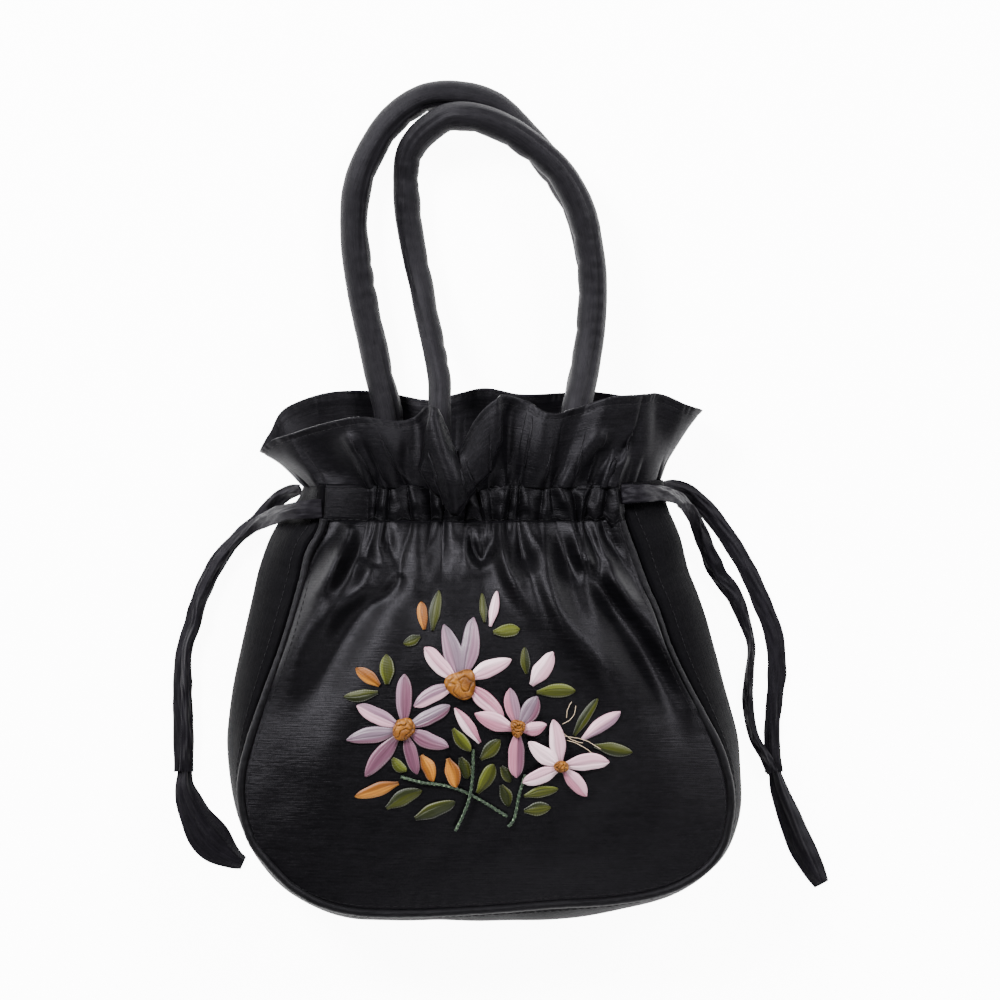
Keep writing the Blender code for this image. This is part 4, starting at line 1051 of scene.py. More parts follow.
# Body
def patch(rows, cols):
    """Grid over the area inside the seam line: a Coons patch between its left, right,
    bottom and straight top edges, with its shares across (u) and down (v)."""
    top = (seam_at_height(PANEL_TOP, True), seam_at_height(PANEL_TOP, False))
    corner = [np.interp(row, seam[:, 3], seam_at) for row in (CORNER_LEFT, CORNER_RIGHT)]
    v, u = (share[..., None] for share in shares(rows, cols))

    def edge(low, high, count):
        read = seam_read(np.linspace(low, high, count))
        return read[:, :2] - SEWN_IN * read[:, 3:5]

    left = edge(top[0], corner[0], rows)[:, None, :]
    right = edge(top[1], corner[1], rows)[:, None, :]
    bottom = edge(corner[0], corner[1], cols)[None, :, :]
    lid = left[:1] * (1.0 - u) + right[:1] * u
    flat = (1.0 - u) * left + u * right + (1.0 - v) * lid + v * bottom
    flat = flat - ((1.0 - u) * ((1.0 - v) * left[:1] + v * left[-1:])
                   + u * ((1.0 - v) * right[:1] + v * right[-1:]))
    return flat, u[..., 0], v[..., 0]


# Valleys between the front gathers, as places across the photograph
VALLEYS = from_picture([(px, PICTURE_Y) for px in (
    322, 368, 377, 389, 410, 431, 446, 466, 480, 491, 509, 519, 541, 552, 575, 586, 605, 634
)])[:, 0]


def front_pleats(x, seed=4):
    """Height of the front gathers along the casing: between two valleys the cloth swells by
    sin to the power 0.7, leaning to one side, and higher where the gather is wider."""
    k = np.clip(np.searchsorted(VALLEYS, x) - 1, 0, len(VALLEYS) - 2)
    gap = VALLEYS[k + 1] - VALLEYS[k]
    share = np.clip((x - VALLEYS[k]) / gap, 0.0, 1.0)
    draw = np.random.default_rng(seed).uniform(0.7, 1.3, len(VALLEYS))
    height = np.minimum(0.34 * gap, 2.4 * MM) * draw[k]
    height = np.where(k == 0, 0.9 * MM, height)
    skew = np.random.default_rng(seed + 1).uniform(0.55, 1.8, len(VALLEYS))
    return height * hump(share ** skew[k]) ** 0.7 - 0.9 * MM


def line_mark(x, y, points):
    """Share run along a drawn line, and the distance from it signed by its side, for each
    place on a cloth."""
    line = even_curve(from_picture(points), 24)
    start, step = line[:-1], np.diff(line, axis=0)
    flat = np.stack((x.ravel(), y.ravel()), axis=-1)
    away = flat[:, None] - start[None]
    t = np.clip((away * step).sum(-1) / (step ** 2).sum(-1), 0.0, 1.0)
    gap = away - t[..., None] * step
    far = np.hypot(gap[..., 0], gap[..., 1])
    best = far.argmin(axis=1)
    pick = np.arange(len(flat))
    cross = step[best, 0] * away[pick, best, 1] - step[best, 1] * away[pick, best, 0]
    share = ((best + t[pick, best]) / len(step)).reshape(x.shape)
    signed = (far[pick, best] * np.sign(cross)).reshape(x.shape)
    return share, signed


# Creases and soft ridges seen on the front, from the casing downwards
FRONT_MARKS = (
    # height in mm (below 0 a crease), half width in mm, places on the photograph
    (-2.5, 2.1, ((390, 500), (386, 515), (386, 530), (391, 552), (402, 576))),
    (-1.7, 2.9, ((403, 572), (392, 590), (372, 604), (345, 618))),
    (4.2, 4.2, ((372, 560), (362, 585), (335, 612), (312, 640))),
    (5.2, 3.8, ((350, 522), (343, 548), (324, 582), (300, 612))),
    (-1.8, 3.2, ((372, 520), (368, 548), (356, 572))),
    (2.1, 5.2, ((418, 522), (417, 548), (408, 590), (398, 620))),
    (-2.1, 4.2, ((442, 520), (440, 550), (442, 590))),
    (-3.0, 1.6, ((469, 515), (469, 532), (473, 549), (481, 560), (487, 548), (490, 526))),
    (2.2, 2.3, ((478, 518), (480, 535), (482, 550))),
    (4.2, 3.2, ((500, 515), (501, 545), (511, 575), (530, 612), (545, 640))),
    (-2.3, 2.7, ((516, 518), (524, 556), (542, 600), (560, 640))),
    (2.9, 3.2, ((541, 515), (550, 565), (563, 604), (578, 640))),
    (-2.3, 2.7, ((556, 515), (567, 556), (588, 600))),
    (4.4, 3.2, ((568, 515), (588, 560), (616, 594), (642, 624))),
    (-2.1, 1.9, ((590, 512), (596, 540), (607, 560))),
    (2.3, 1.9, ((597, 512), (604, 552), (622, 566))),
    (-2.0, 2.5, ((604, 520), (620, 560), (640, 600), (660, 650))),
    (5.4, 5.4, ((520, 560), (556, 610), (600, 664), (640, 730))),
    (-4.8, 4.8, ((588, 560), (626, 620), (664, 690), (690, 760))),
    (4.8, 4.8, ((602, 560), (648, 622), (688, 690), (706, 750))),
    (5.0, 5.8, ((345, 540), (318, 600), (294, 660), (280, 720))),
    (-2.9, 6.3, ((380, 590), (344, 640), (316, 700), (308, 760))),
    (2.1, 8.4, ((330, 660), (322, 720), (340, 790), (380, 840))),
    (-1.0, 8.4, ((560, 830), (610, 810), (650, 770), (680, 730))),
    (0.9, 9.5, ((440, 850), (520, 860), (600, 850), (650, 820))),
)

# Flutes and folds of the front of the ruffle
RUFFLE_MARKS = (
    # height in mm (below 0 a fold inwards), half width in mm, places on the photograph
    (-2.0, 9.0, ((318, 438), (326, 462), (342, 484))),
    (2.0, 3.0, ((350, 440), (362, 456), (371, 486))),
    (-2.0, 2.4, ((362, 448), (371, 466), (377, 490))),
    (1.3, 7.0, ((394, 424), (393, 455), (390, 486))),
    (-1.8, 4.5, ((419, 420), (412, 450), (408, 486))),
    (-2.4, 3.2, ((512, 412), (511, 445), (513, 488))),
    (2.2, 6.5, ((536, 410), (538, 445), (546, 486))),
    (-2.0, 5.0, ((566, 416), (563, 452), (556, 486))),
    (2.0, 4.0, ((598, 440), (580, 460), (566, 486))),
    (-2.0, 4.5, ((606, 452), (594, 470), (587, 488))),
    (1.8, 3.0, ((622, 456), (610, 472), (605, 490))),
    (-2.2, 1.9, ((646, 397), (638, 430), (620, 457))),
    (2.0, 8.0, ((672, 404), (660, 432), (644, 464))),
)
# The flat kite with a notch in it, in the middle of the ruffle: down, left and right edge
KITE = np.array(((396, 434, 499), (408, 431, 501), (440, 425, 502), (468, 421, 492),
                 (485, 431, 478), (500, 441, 466), (520, 453, 454)), float)


def fold_ridges(x, y):
    """Sum of the soft ridges of the fold table at places on the front panel."""
    total = np.zeros_like(x)
    for across, down, far_across, far_down, half, share in FOLDS:
        start = np.array((across * BAG_WIDTH, -down * BODY_HEIGHT))
        run = np.array((far_across * BAG_WIDTH, -far_down * BODY_HEIGHT)) - start
        length = np.hypot(*run)
        along = ((x - start[0]) * run[0] + (y - start[1]) * run[1]) / length ** 2
        aside = ((x - start[0]) * run[1] - (y - start[1]) * run[0]) / length
        widen = half * BAG_WIDTH * (1.0 + 0.6 * np.clip(along, 0.0, 1.0))
        fade = ease(along, -0.15, 0.12) * (1.0 - ease(along, 0.35, 1.05))
        total += share * FOLD_DEPTH * fade * bell(aside, widen)
    return total


def front_cloth(rows, cols):
    """Front panel: seam height plus a crown, soft ridges, gathers fading downwards, drawn
    creases and small puckers along the piping. Its top edge is tucked under the casing and
    follows that one's underside, a difference that fades out fast where it is narrow and
    slowly where it is broad."""
    flat, u, v = patch(rows, cols)
    x, y = flat[..., 0], flat[..., 1]
    arch = 4.0 * u * (1.0 - u)
    crown = (BODY_DEPTH - FRONT_SEAM_HIGH) * arch ** 0.85 * hump(v ** 0.8) ** 0.9
    neck = NECK_CROWN * arch * (1.0 - v) ** 2
    inner = ease(np.minimum(u, 1.0 - u), 0.0, 0.10) * ease(1.0 - v, 0.0, 0.2)
    x_top = x[:1]
    reach = 0.15 + 0.07 * ripple(17, 20 * MM, x_top)
    pleats = front_pleats(x_top) * (1.0 - ease(v / reach, 0.0, 1.0)) ** 1.3
    broad = 0.5 * MM * ripple(23, 18 * MM, x_top) * (1.0 - ease(v, 0.05, 0.42))
    z = front_high(y) + crown + neck + pleats + (broad + 0.6 * fold_ridges(x, y)) * inner \
        * ease(v, 0.0, 0.1)
    for height, half, points in FRONT_MARKS:
        share, gap = line_mark(x, y, points)
        fade = ease(share, -0.02, 0.10 if points[0][1] < 640 else 0.45) \
            * (1.0 - ease(share, 0.50, 1.0))
        half = half * (1.0 + 0.5 * share) * MM
        mark = bell(gap, half)
        if height < 0.0:
            mark = mark - 0.35 * bell(np.abs(gap) - 2.2 * half, 1.5 * half)
        z = z + height * MM * fade * mark
    aside, below = np.minimum(u, 1.0 - u) * 150.0, (1.0 - v) * 165.0
    pucker = pleated(31, np.where(below < aside, x, y), 6.5 * MM) \
        * bell(np.minimum(aside, below), 5.0)
    z = z + 0.10 * MM * pucker * ease(v, 0.1, 0.3) * (0.4 + 0.6 * ripple(33, 40 * MM, x, y))
    z = z + 0.25 * MM * ripple(37, 26 * MM, x, y) * inner
    under = front_band_grid[-4]
    step = np.interp(x[0], under[:, 0], under[:, 2]) - 0.5 * MM - z[0]
    slow = running_mean(step, 20)
    z = z + slow * (1.0 - ease(v, 0.0, 0.34)) + (step - slow) * (1.0 - ease(v, 0.0, 0.09))
    return np.dstack((x, y + (1.0 - v) ** 40 * PANEL_TUCK, z))


def back_cloth(rows, cols):
    """Back panel: flat on the surface, lifted at its edges, with faint pressed creases, and
    its top edge tucked over the back casing."""
    flat, u, v = patch(rows, cols)
    x, y = flat[..., 0], flat[..., 1]
    middle = ease(np.minimum(u, 1.0 - u), 0.0, 0.13)
    middle = middle * ease(v, 0.0, 0.2) * ease(1.0 - v, 0.0, 0.13)
    high = back_high(y) * (1.0 - middle) * (1.0 + 0.12 * ripple(41, 15 * MM, x, y))
    high = high + 0.25 * MM * (1.0 + ripple(43, 22 * MM, x, 0.5 * y)) * middle
    over = back_band_grid[-3, ::-1]
    tucked = 1.0 - ease(v, 0.015, 0.06)
    high = high * (1.0 - tucked) + (np.interp(x, over[:, 0], over[:, 2]) + 0.9 * MM) * tucked
    return np.dstack((x, y + (1.0 - v) ** 40 * PANEL_TUCK, high))[:, ::-1]


def gusset_cloth(rows, cols):
    """Gusset round the body: its section, with puckers sewn in at both seams and softer
    folds towards the gathered top."""
    at = np.linspace(0.0, len(seam) - 1.0, rows)
    t = np.linspace(0.0, 1.0, cols)[None, :]
    read = seam_read(np.repeat(at, cols)).reshape(rows, cols, 5)
    grid = gusset_section(read, t, SEWN_IN, SEWN_IN)
    run = arc(seam_read(at)[:, :2])[:, None]
    total = run[-1]
    top = 1.0 - ease(np.minimum(run, total - run), 0.0, 60 * MM)
    swell = hump(t) ** 0.5
    puff = 0.28 * MM * pleated(47, run, 7.5 * MM) * (1.0 - swell ** 2) * swell
    puff = puff + 0.9 * MM * ripple(51, 24 * MM, run, 25 * MM * t) * swell * (0.35 + top)
    puff = puff + 1.1 * MM * top * swell * np.cos(TURN * (1.8 * t + 3.0 * run / total))
    grid[..., 0] += read[..., 3] * puff
    grid[..., 1] += read[..., 4] * puff
    return grid


def casing_edges(y):
    """Where the casing ends on the left and right at heights y."""
    left, right = ([seam_read(np.array([seam_at_height(value, side)]))[0, 0] for value in y]
                   for side in (True, False))
    return np.array(left) - 0.5 * MM, np.array(right) + 0.5 * MM


def casing_cloth(rows, cols, front):
    """Drawstring casing: gathers along x, swelling between two rows of stitches, with each
    gather leaning a little as it goes down. Its ends turn down into the gusset."""
    v, u = shares(rows, cols)
    at = np.linspace(0.0, 1.0, 5)
    left, right = casing_edges(np.linspace(0.0, -CASING_WIDTH, 5))
    left = np.interp(v[:, 0], at, left)[:, None] - 2.2 * MM
    right = np.interp(v[:, 0], at, right)[:, None] + 2.2 * MM
    x = left * (1.0 - u) + right * u
    y = -CASING_WIDTH * v + 0.0 * x
    stitched = bell(v - 0.10, 0.045) + bell(v - 0.90, 0.045)
    puff = 1.1 * MM * hump(v) ** 0.7 - 0.45 * MM * stitched
    lean = (y + 0.5 * CASING_WIDTH) * 0.42 * ripple(57, 26 * MM, x)
    if front:
        ends = np.minimum(x - left, right - x)
        shown = ease(x, -55 * MM, -46 * MM)
        bag = front_pleats(x + lean * shown) * (0.75 + 0.45 * hump(v)) \
            + 0.45 * MM * ripple(59, 11 * MM, x, 1.2 * y) * shown
        y = y - v ** 2 * 2.4 * MM * ripple(60, 11 * MM, x) * shown
        puff = puff * (1.0 - 0.55 * shown * ease(v, 0.55, 0.85))
        z = front_high(y) + NECK_CROWN * 4.0 * u * (1.0 - u) + bag + puff * (0.5 + 0.5 * shown)
        z = z - 4.0 * MM * (1.0 - ease(ends, 0.0, 3.5 * MM)) ** 2 \
            - 0.8 * MM * (ease(v, 0.90, 1.0) + 1.0 - ease(v, 0.0, 0.06))
        return np.dstack((x, y, z))
    z = back_high(y) + 0.35 * MM * pleated(61, x + lean, 5.6 * MM) - 0.5 * puff
    return np.dstack((x, y, np.maximum(z, 0.4 * MM)))[:, ::-1]


def from_above(grid):
    """A grid's places across and down, as its flat places."""
    return np.ascontiguousarray(grid[..., :2])


front_band_grid = casing_cloth(36, 460, True)
front_band = cloth("front_casing", front_band_grid, BAND_SATIN)
back_band_grid = casing_cloth(24, 280, False)
back_band = cloth("back_casing", back_band_grid, BAND_SATIN)
front_grid = front_cloth(190, 230)
front_piece = cloth("front_panel", front_grid, BODY_SATIN, flat=from_above(front_grid))
back_grid = back_cloth(90, 110)
back_piece = cloth("back_panel", back_grid, BODY_SATIN, flat=from_above(back_grid))
gusset_grid = gusset_cloth(500, 32)
gusset_piece = cloth("gusset", gusset_grid, SIDE_SATIN)

# Piping: a cord along the seam line, with wrinkles and a fine twist in its cover
piping_at = np.linspace(seam_at_height(PANEL_TOP - GAP, True) - 4.0,
                        seam_at_height(PANEL_TOP - GAP, False) + 4.0, 620)
piping_read = seam_read(piping_at)
turn = circle(PIPING_SIDES)
for label, high in (("front_piping", front_high), ("back_piping", back_high)):
    line = np.column_stack((piping_read[:, :2], high(piping_read[:, 1])))
    run = arc(line)[:, None]
    size = PIPING_RADIUS * (1.0 + 0.035 * ripple(67, 5 * MM, run, 3.0 * MM * np.cos(turn))
                            + 0.02 * np.sin(TURN * run / (2.6 * MM) + turn))
    put_mesh(label + "_cord", rod_arrays(ring_sections(line, size, PIPING_SIDES)), PIPING_SATIN,
             (label,))

# Ruffle
WEDGE_TURN = 0.455
WEDGE_DROP = 7.0 * MM
WEDGE_RISE = 5.0 * MM
RUFFLE_SPREAD = 1.55 * NECK_DEPTH


def neck_ring(turn):
    """Closed line of the ruffle's gathered edge, for places around the neck. It is tucked
    under the front casing and over the back one, and drawn down under the notch."""
    left, right = (edge[0] for edge in casing_edges(np.zeros(1)))
    ends = seam_read(np.array([0.0, len(seam) - 1.0]))
    u = np.mod(turn, 1.0)
    x_front = left + (right - left) * u
    x_back = right + (left - right) * u
    side_right = gusset_section(ends[1], 1.0 - u)
    side_left = gusset_section(ends[0], u)
    part = np.floor(turn).astype(int)
    under, over = front_band_grid[5], back_band_grid[4, ::-1]
    z_front = np.interp(x_front, under[:, 0], under[:, 2]) - 0.6 * MM
    z_back = np.interp(x_back, over[:, 0], over[:, 2]) + 0.8 * MM
    inset = 0.8 * MM * np.minimum(1.0, 12.0 * u * (1.0 - u))
    x = np.choose(part, (x_front, side_right[:, 0] - inset, x_back, side_left[:, 0] + inset))
    z = np.choose(part, (z_front, side_right[:, 2], z_back, side_left[:, 2]))
    near = turn - WEDGE_TURN
    level = 0.0 * x
    y = np.choose(part, (level, side_right[:, 1], level, side_left[:, 1]))
    y = y - RUFFLE_TUCK - 1.7 * WEDGE_DROP * np.exp(-(np.abs(near) / 0.042) ** 1.5)
    z = z + WEDGE_RISE * bell(near, 0.06)
    return np.column_stack((x, y, z))


def rim_ring(turn):
    """Closed line of the ruffle's free edge, with a small wave in it."""
    rows = placed(RIM[:, 1:])
    rows[:, 2] = RIM[:, 3] * RUFFLE_SPREAD
    around = RIM[:, 0]
    rows = np.concatenate((rows[-3:], rows, rows[:3]))
    around = np.concatenate((around[-3:] - 4.0, around, around[:3] + 4.0))
    return hermite(rows, around, turn)


def ruffle_cloth(rows, front_cols, side_cols, back_cols):
    """Ruffle: straight lines from rim to gathered edge, bellied in front. In front the
    casing's own gathers run on into it and fade, with the drawn flutes, the flat kite and
    the ridge below its notch laid over them; behind, gathers rise from the neck and broader
    flutes grow towards the rim. A hem is sewn in along the rim."""
    turns = np.concatenate([part + np.arange(count) / count for part, count in enumerate(
        (front_cols, side_cols, back_cols, side_cols))])
    base, rim = neck_ring(turns), rim_ring(turns)
    v = np.linspace(0.0, 1.0, rows)[:, None, None]
    grid = rim[None] * (1.0 - v) + base[None] * v
    v = v[..., 0]
    run = arc(0.5 * (base + rim))[None, :]
    amount = np.array((1.0, 0.8, 0.22, 0.8))[turns.astype(int)]
    back = ease(turns, 0.95, 1.1)
    small = 1.0 * MM * pleated(71, run, 6.5 * MM) * ease(v, 0.62, 0.96)
    under = front_band_grid[5]
    gathers = np.interp(base[:, 0], under[:, 0], under[:, 2] - running_mean(under[:, 2], 40))
    gathers = gathers[None, :] * (ease(v, 0.70, 0.96) - v) \
        * (1.0 - ease(turns, 0.97, 1.0)[None, :])
    flute = 1.7 * MM * ripple(79, 24 * MM, run, 30 * MM * v) * (1.0 - v) ** 0.5
    ends = ease(1.0 - v, 0.0, 0.05)
    push = amount * back * (small * ends + flute) + (1.0 - back) * (gathers * ends + 0.35 * flute)
    marks = 0.0
    for height, half, points in RUFFLE_MARKS:
        share, gap = line_mark(grid[..., 0], grid[..., 1], points)
        fade = ease(share, -0.3, 0.1) * (1.0 - 0.6 * ease(share, 0.8, 1.2))
        marks = marks + height * MM * fade * np.exp(-np.abs(gap / (half * MM)) ** 2.4)
    edges = from_picture(KITE[:, (1, 0)]), from_picture(KITE[:, (2, 0)])
    sides = [np.interp(-grid[..., 1], -edge[:, 1], edge[:, 0]) for edge in edges]
    marks = marks + 2.8 * MM * ease(grid[..., 0] - sides[0], -1.0 * MM, 1.2 * MM) \
        * ease(sides[1] - grid[..., 0], -1.0 * MM, 1.2 * MM)
    push = push + marks * (1.0 - ease(turns, 0.98, 1.02)[None, :]) \
        * ease(turns, -0.02, 0.02)[None, :]
    hem = -0.3 * MM * bell(v - 0.085, 0.018) \
        + 0.12 * MM * pleated(83, run, 4.0 * MM) * (1.0 - ease(v, 0.03, 0.14))
    grid = grid + normals(grid, True) * (push + hem)[..., None]
    grid[..., 2] += 2.5 * MM * hump(v) * hump(np.clip(turns, 0, 1)) \
        * (ease(turns, 0.0, 0.05) * (1.0 - ease(turns, 0.97, 1.05)))
    below_notch = turns[None, :] - (0.498 - 0.040 * v)
    grid[..., 2] += 3.6 * MM * bell(below_notch, 0.024) \
        * ease(v, 0.0, 0.30) * (1.0 - ease(v, 0.6, 1.0))
    grid[..., 2] = np.maximum(grid[..., 2], 1.2 * MM)
    return grid


ruffle_grid = ruffle_cloth(42, 430, 110, 250)
ruffle_piece = cloth("ruffle", ruffle_grid, FRILL_SATIN, ring=True)


# Handles
def hold_height(x, girth, front):
    """Height at which the casing wall holds a handle sewn inside it."""
    radius = HANDLE_RADIUS * girth
    aside = np.linspace(-0.9, 0.9, 13)[:, None] * radius
    sag = radius - np.sqrt(radius ** 2 - aside ** 2)

    def gather(place):
        turn = TURN * place / GATHER_PITCH
        return GATHER_DEPTH * np.sin(turn + 0.8 * np.sin(turn / 3.7) + 0.5 * np.sin(turn / 1.9))

    if front:
        left, right = (edge[0] for edge in casing_edges(np.zeros(1)))
        u = (x - left) / (right - left)
        shell = NECK_DEPTH + NECK_CROWN * 4.0 * u * (1.0 - u) + gather(x + aside) + sag
        return shell.min(axis=0) - CLOTH - HANDLE_SEAT - radius
    shell = NECK_BACK + BACK_GATHER * gather(x + aside) - sag
    return shell.max(axis=0) + CLOTH + HANDLE_SEAT + radius


def handle(name, table, front, seed, seam_turn):
    """Padded tube along its table line. Its radius is the girth with soft wrinkles, puckers
    on the inner side of the loop and, in front, a kink at the upper left bend; it is drawn
    in along a lengthwise seam that wanders round it."""
    path = placed(table[:, :2])
    hold = hold_height(path[:, 0], table[:, 4], front)
    high = table[:, 2] * HANDLE_RADIUS * (1.0 - table[:, 3]) + hold * table[:, 3]
    path = even_curve(np.column_stack((path, high, table[:, 4])), 480, axes=3)
    run = arc(path[:, :3])[:, None]
    turn = circle(HANDLE_SIDES)[None, :]
    wrinkle = 0.022 * ripple(seed, 16 * MM, run, 8 * MM * np.cos(turn), 8 * MM * np.sin(turn))
    wrinkle = wrinkle + 0.008 * ripple(seed + 1, 6 * MM, run, 4 * MM * np.cos(turn)) + 0.035
    wrinkle = wrinkle + 0.020 * ripple(seed + 2, 40 * MM, run)
    inner = bell(wrapped(turn), 0.75)
    wrinkle = wrinkle + 0.055 * (pleated(seed + 5, run, 17 * MM) - 0.5) * inner
    if front:
        bend = bell(run - 0.141, 0.0028) + 0.6 * bell(run - 0.150, 0.002)
        wrinkle = wrinkle - 0.16 * bend * (0.45 + 0.55 * np.cos(turn))
    away = wrapped(turn - (math.radians(seam_turn) + 0.45 * ripple(seed + 3, 90 * MM, run)))
    groove = -0.15 * bell(away, 0.08) \
        + 0.03 * bell(np.abs(away) - 0.26, 0.16) * (1.0 + 0.8 * ripple(seed + 4, 6 * MM, run))
    size = HANDLE_RADIUS * path[:, 3:4] * (1.0 + wrinkle + groove)
    skin = rod_arrays(ring_sections(path[:, :3], size, HANDLE_SIDES))
    made = put_mesh(name + "_tube", skin, HANDLE_SATIN, (name,))


handle("back_handle", BACK_HANDLE, False, 91, 62.0)
handle("front_handle", FRONT_HANDLE, True, 97, 118.0)

# Embroidery: ribbon stitches laid on the front panel one over another
WHITE_PINK = srgb(238, 206, 216)
PALE_PINK = srgb(208, 162, 178)
ROSE = srgb(172, 110, 132)
LILAC = srgb(138, 104, 124)
LILAC_GREY = srgb(116, 96, 112)
MAUVE = srgb(112, 70, 90)
DUSTY = srgb(98, 58, 78)
ORANGE = srgb(128, 74, 10)
AMBER = srgb(178, 116, 34)
# Dark brown painted as shade in the valleys of the folded knots
SHADE_BROWN = srgb(46, 20, 3)
OLIVE = srgb(56, 60, 6)
MOSS = srgb(30, 36, 4)
FRESH = srgb(82, 88, 20)
PINE = srgb(38, 62, 38)
FLECK = srgb(120, 146, 110)
BEIGE = srgb(222, 200, 172)

# Tone of each petal at its left and right edge, in the order of the petal tables: partly the
# ribbon's own tones and partly painted light and shade on the two sides of its fold
PETAL_TONES = {
    "flower_top": ((LILAC, LILAC_GREY), (LILAC_GREY, LILAC), (WHITE_PINK, PALE_PINK),
                   (WHITE_PINK, PALE_PINK), (PALE_PINK, LILAC), (ROSE, PALE_PINK)),
    "flower_left": ((LILAC, MAUVE), (PALE_PINK, LILAC), (MAUVE, LILAC_GREY), (DUSTY, MAUVE),
                    (MAUVE, DUSTY), (LILAC, MAUVE), (LILAC_GREY, DUSTY)),
    "flower_middle": ((ROSE, LILAC), (LILAC_GREY, MAUVE), (ROSE, PALE_PINK), (MAUVE, ROSE),
                      (PALE_PINK, ROSE)),
    "flower_right": ((WHITE_PINK, PALE_PINK), (WHITE_PINK, WHITE_PINK), (PALE_PINK, WHITE_PINK),
                     (WHITE_PINK, PALE_PINK), (PALE_PINK, ROSE)),
}
# Tones of each bud at its two edges: partly its own and partly painted light and shade on the two
# sides of its fold
BUD_TONES = {
    "bud_single": (WHITE_PINK, ROSE),
    "bud_top_right": (WHITE_PINK, PALE_PINK),
    "bud_top_left": (AMBER, ORANGE),
    "bud_left": (AMBER, ORANGE),
    "bud_right": (WHITE_PINK, PALE_PINK),
    "bud_far_right": (PALE_PINK, LILAC),
    "bud_orange_1": (AMBER, ORANGE),
    "bud_orange_2": (ORANGE, AMBER),
    "bud_orange_3": (AMBER, ORANGE),
}

laid = []


def tree_of(points, faces):
    """Search tree of a piece, with its box across and down, for looking up heights."""
    rows = [row for part in faces for row in part.tolist()]
    return (BVHTree.FromPolygons(points.tolist(), rows), points[:, :2].min(axis=0),
            points[:, :2].max(axis=0))


def highest(trees, x, y, miss):
    """Height of the highest surface straight below a place, or miss if that is higher or
    there is none."""
    top = miss
    for tree, low, high in trees:
        if low[0] <= x <= high[0] and low[1] <= y <= high[1]:
            hit = tree.ray_cast(Vector((x, y, 0.5)), Vector((0.0, 0.0, -1.0)))[0]
            if hit is not None:
                top = max(top, hit.z)
    return top


panel_points, panel_faces = wall_arrays(front_grid, THIN)[:2]
panel = [tree_of(panel_points, panel_faces[:1])]


def ground(x, y):
    """Height of the front panel at a place."""
    return highest(panel, x, y, 0.0)


def ground_grid(places):
    """Heights of the panel at a grid of places: looked up on a 7 by 5 grid of them and read
    in between by straight lines both ways."""
    rows, cols = places.shape[:2]
    r = np.linspace(0, rows - 1, 7).astype(int)
    c = np.linspace(0, cols - 1, 5).astype(int)
    known = np.array([[ground(*places[i, k]) for k in c] for i in r])
    wide = np.array([np.interp(np.arange(cols), c, row) for row in known])
    return np.array([np.interp(np.arange(rows), r, column) for column in wide.T]).T


def bouquet_place(across, down):
    """Place of a bouquet table entry in the bag's frame."""
    return np.array((BOUQUET_ACROSS * BAG_WIDTH + across * BOUQUET,
                     -BOUQUET_DOWN * BODY_HEIGHT - down * BOUQUET))


def petal_line(spec):
    """Root, tip, side direction and width of a petal or leaf."""
    root = bouquet_place(spec[0], spec[1])
    tip = bouquet_place(spec[2], spec[3])
    along = unit(tip - root)
    return root, tip, np.array((along[1], -along[0])), spec[4] * BOUQUET


def petal_lift(spec):
    """How far a petal or leaf must rise to clear what is already laid."""
    root, tip, side, width = petal_line(spec)
    lift = 0.0
    for t in np.linspace(0.0, 1.0, 11):
        wide = width * (0.4 + 0.6 * math.sin(math.pi * t))
        for a in np.linspace(-0.5, 0.5, 5):
            x, y = root + (tip - root) * t + side * a * wide
            top = highest(laid, x, y, -1.0)
            if top > 0.0:
                lift = max(lift, top - ground(x, y) + 0.05 * MM)
    return lift


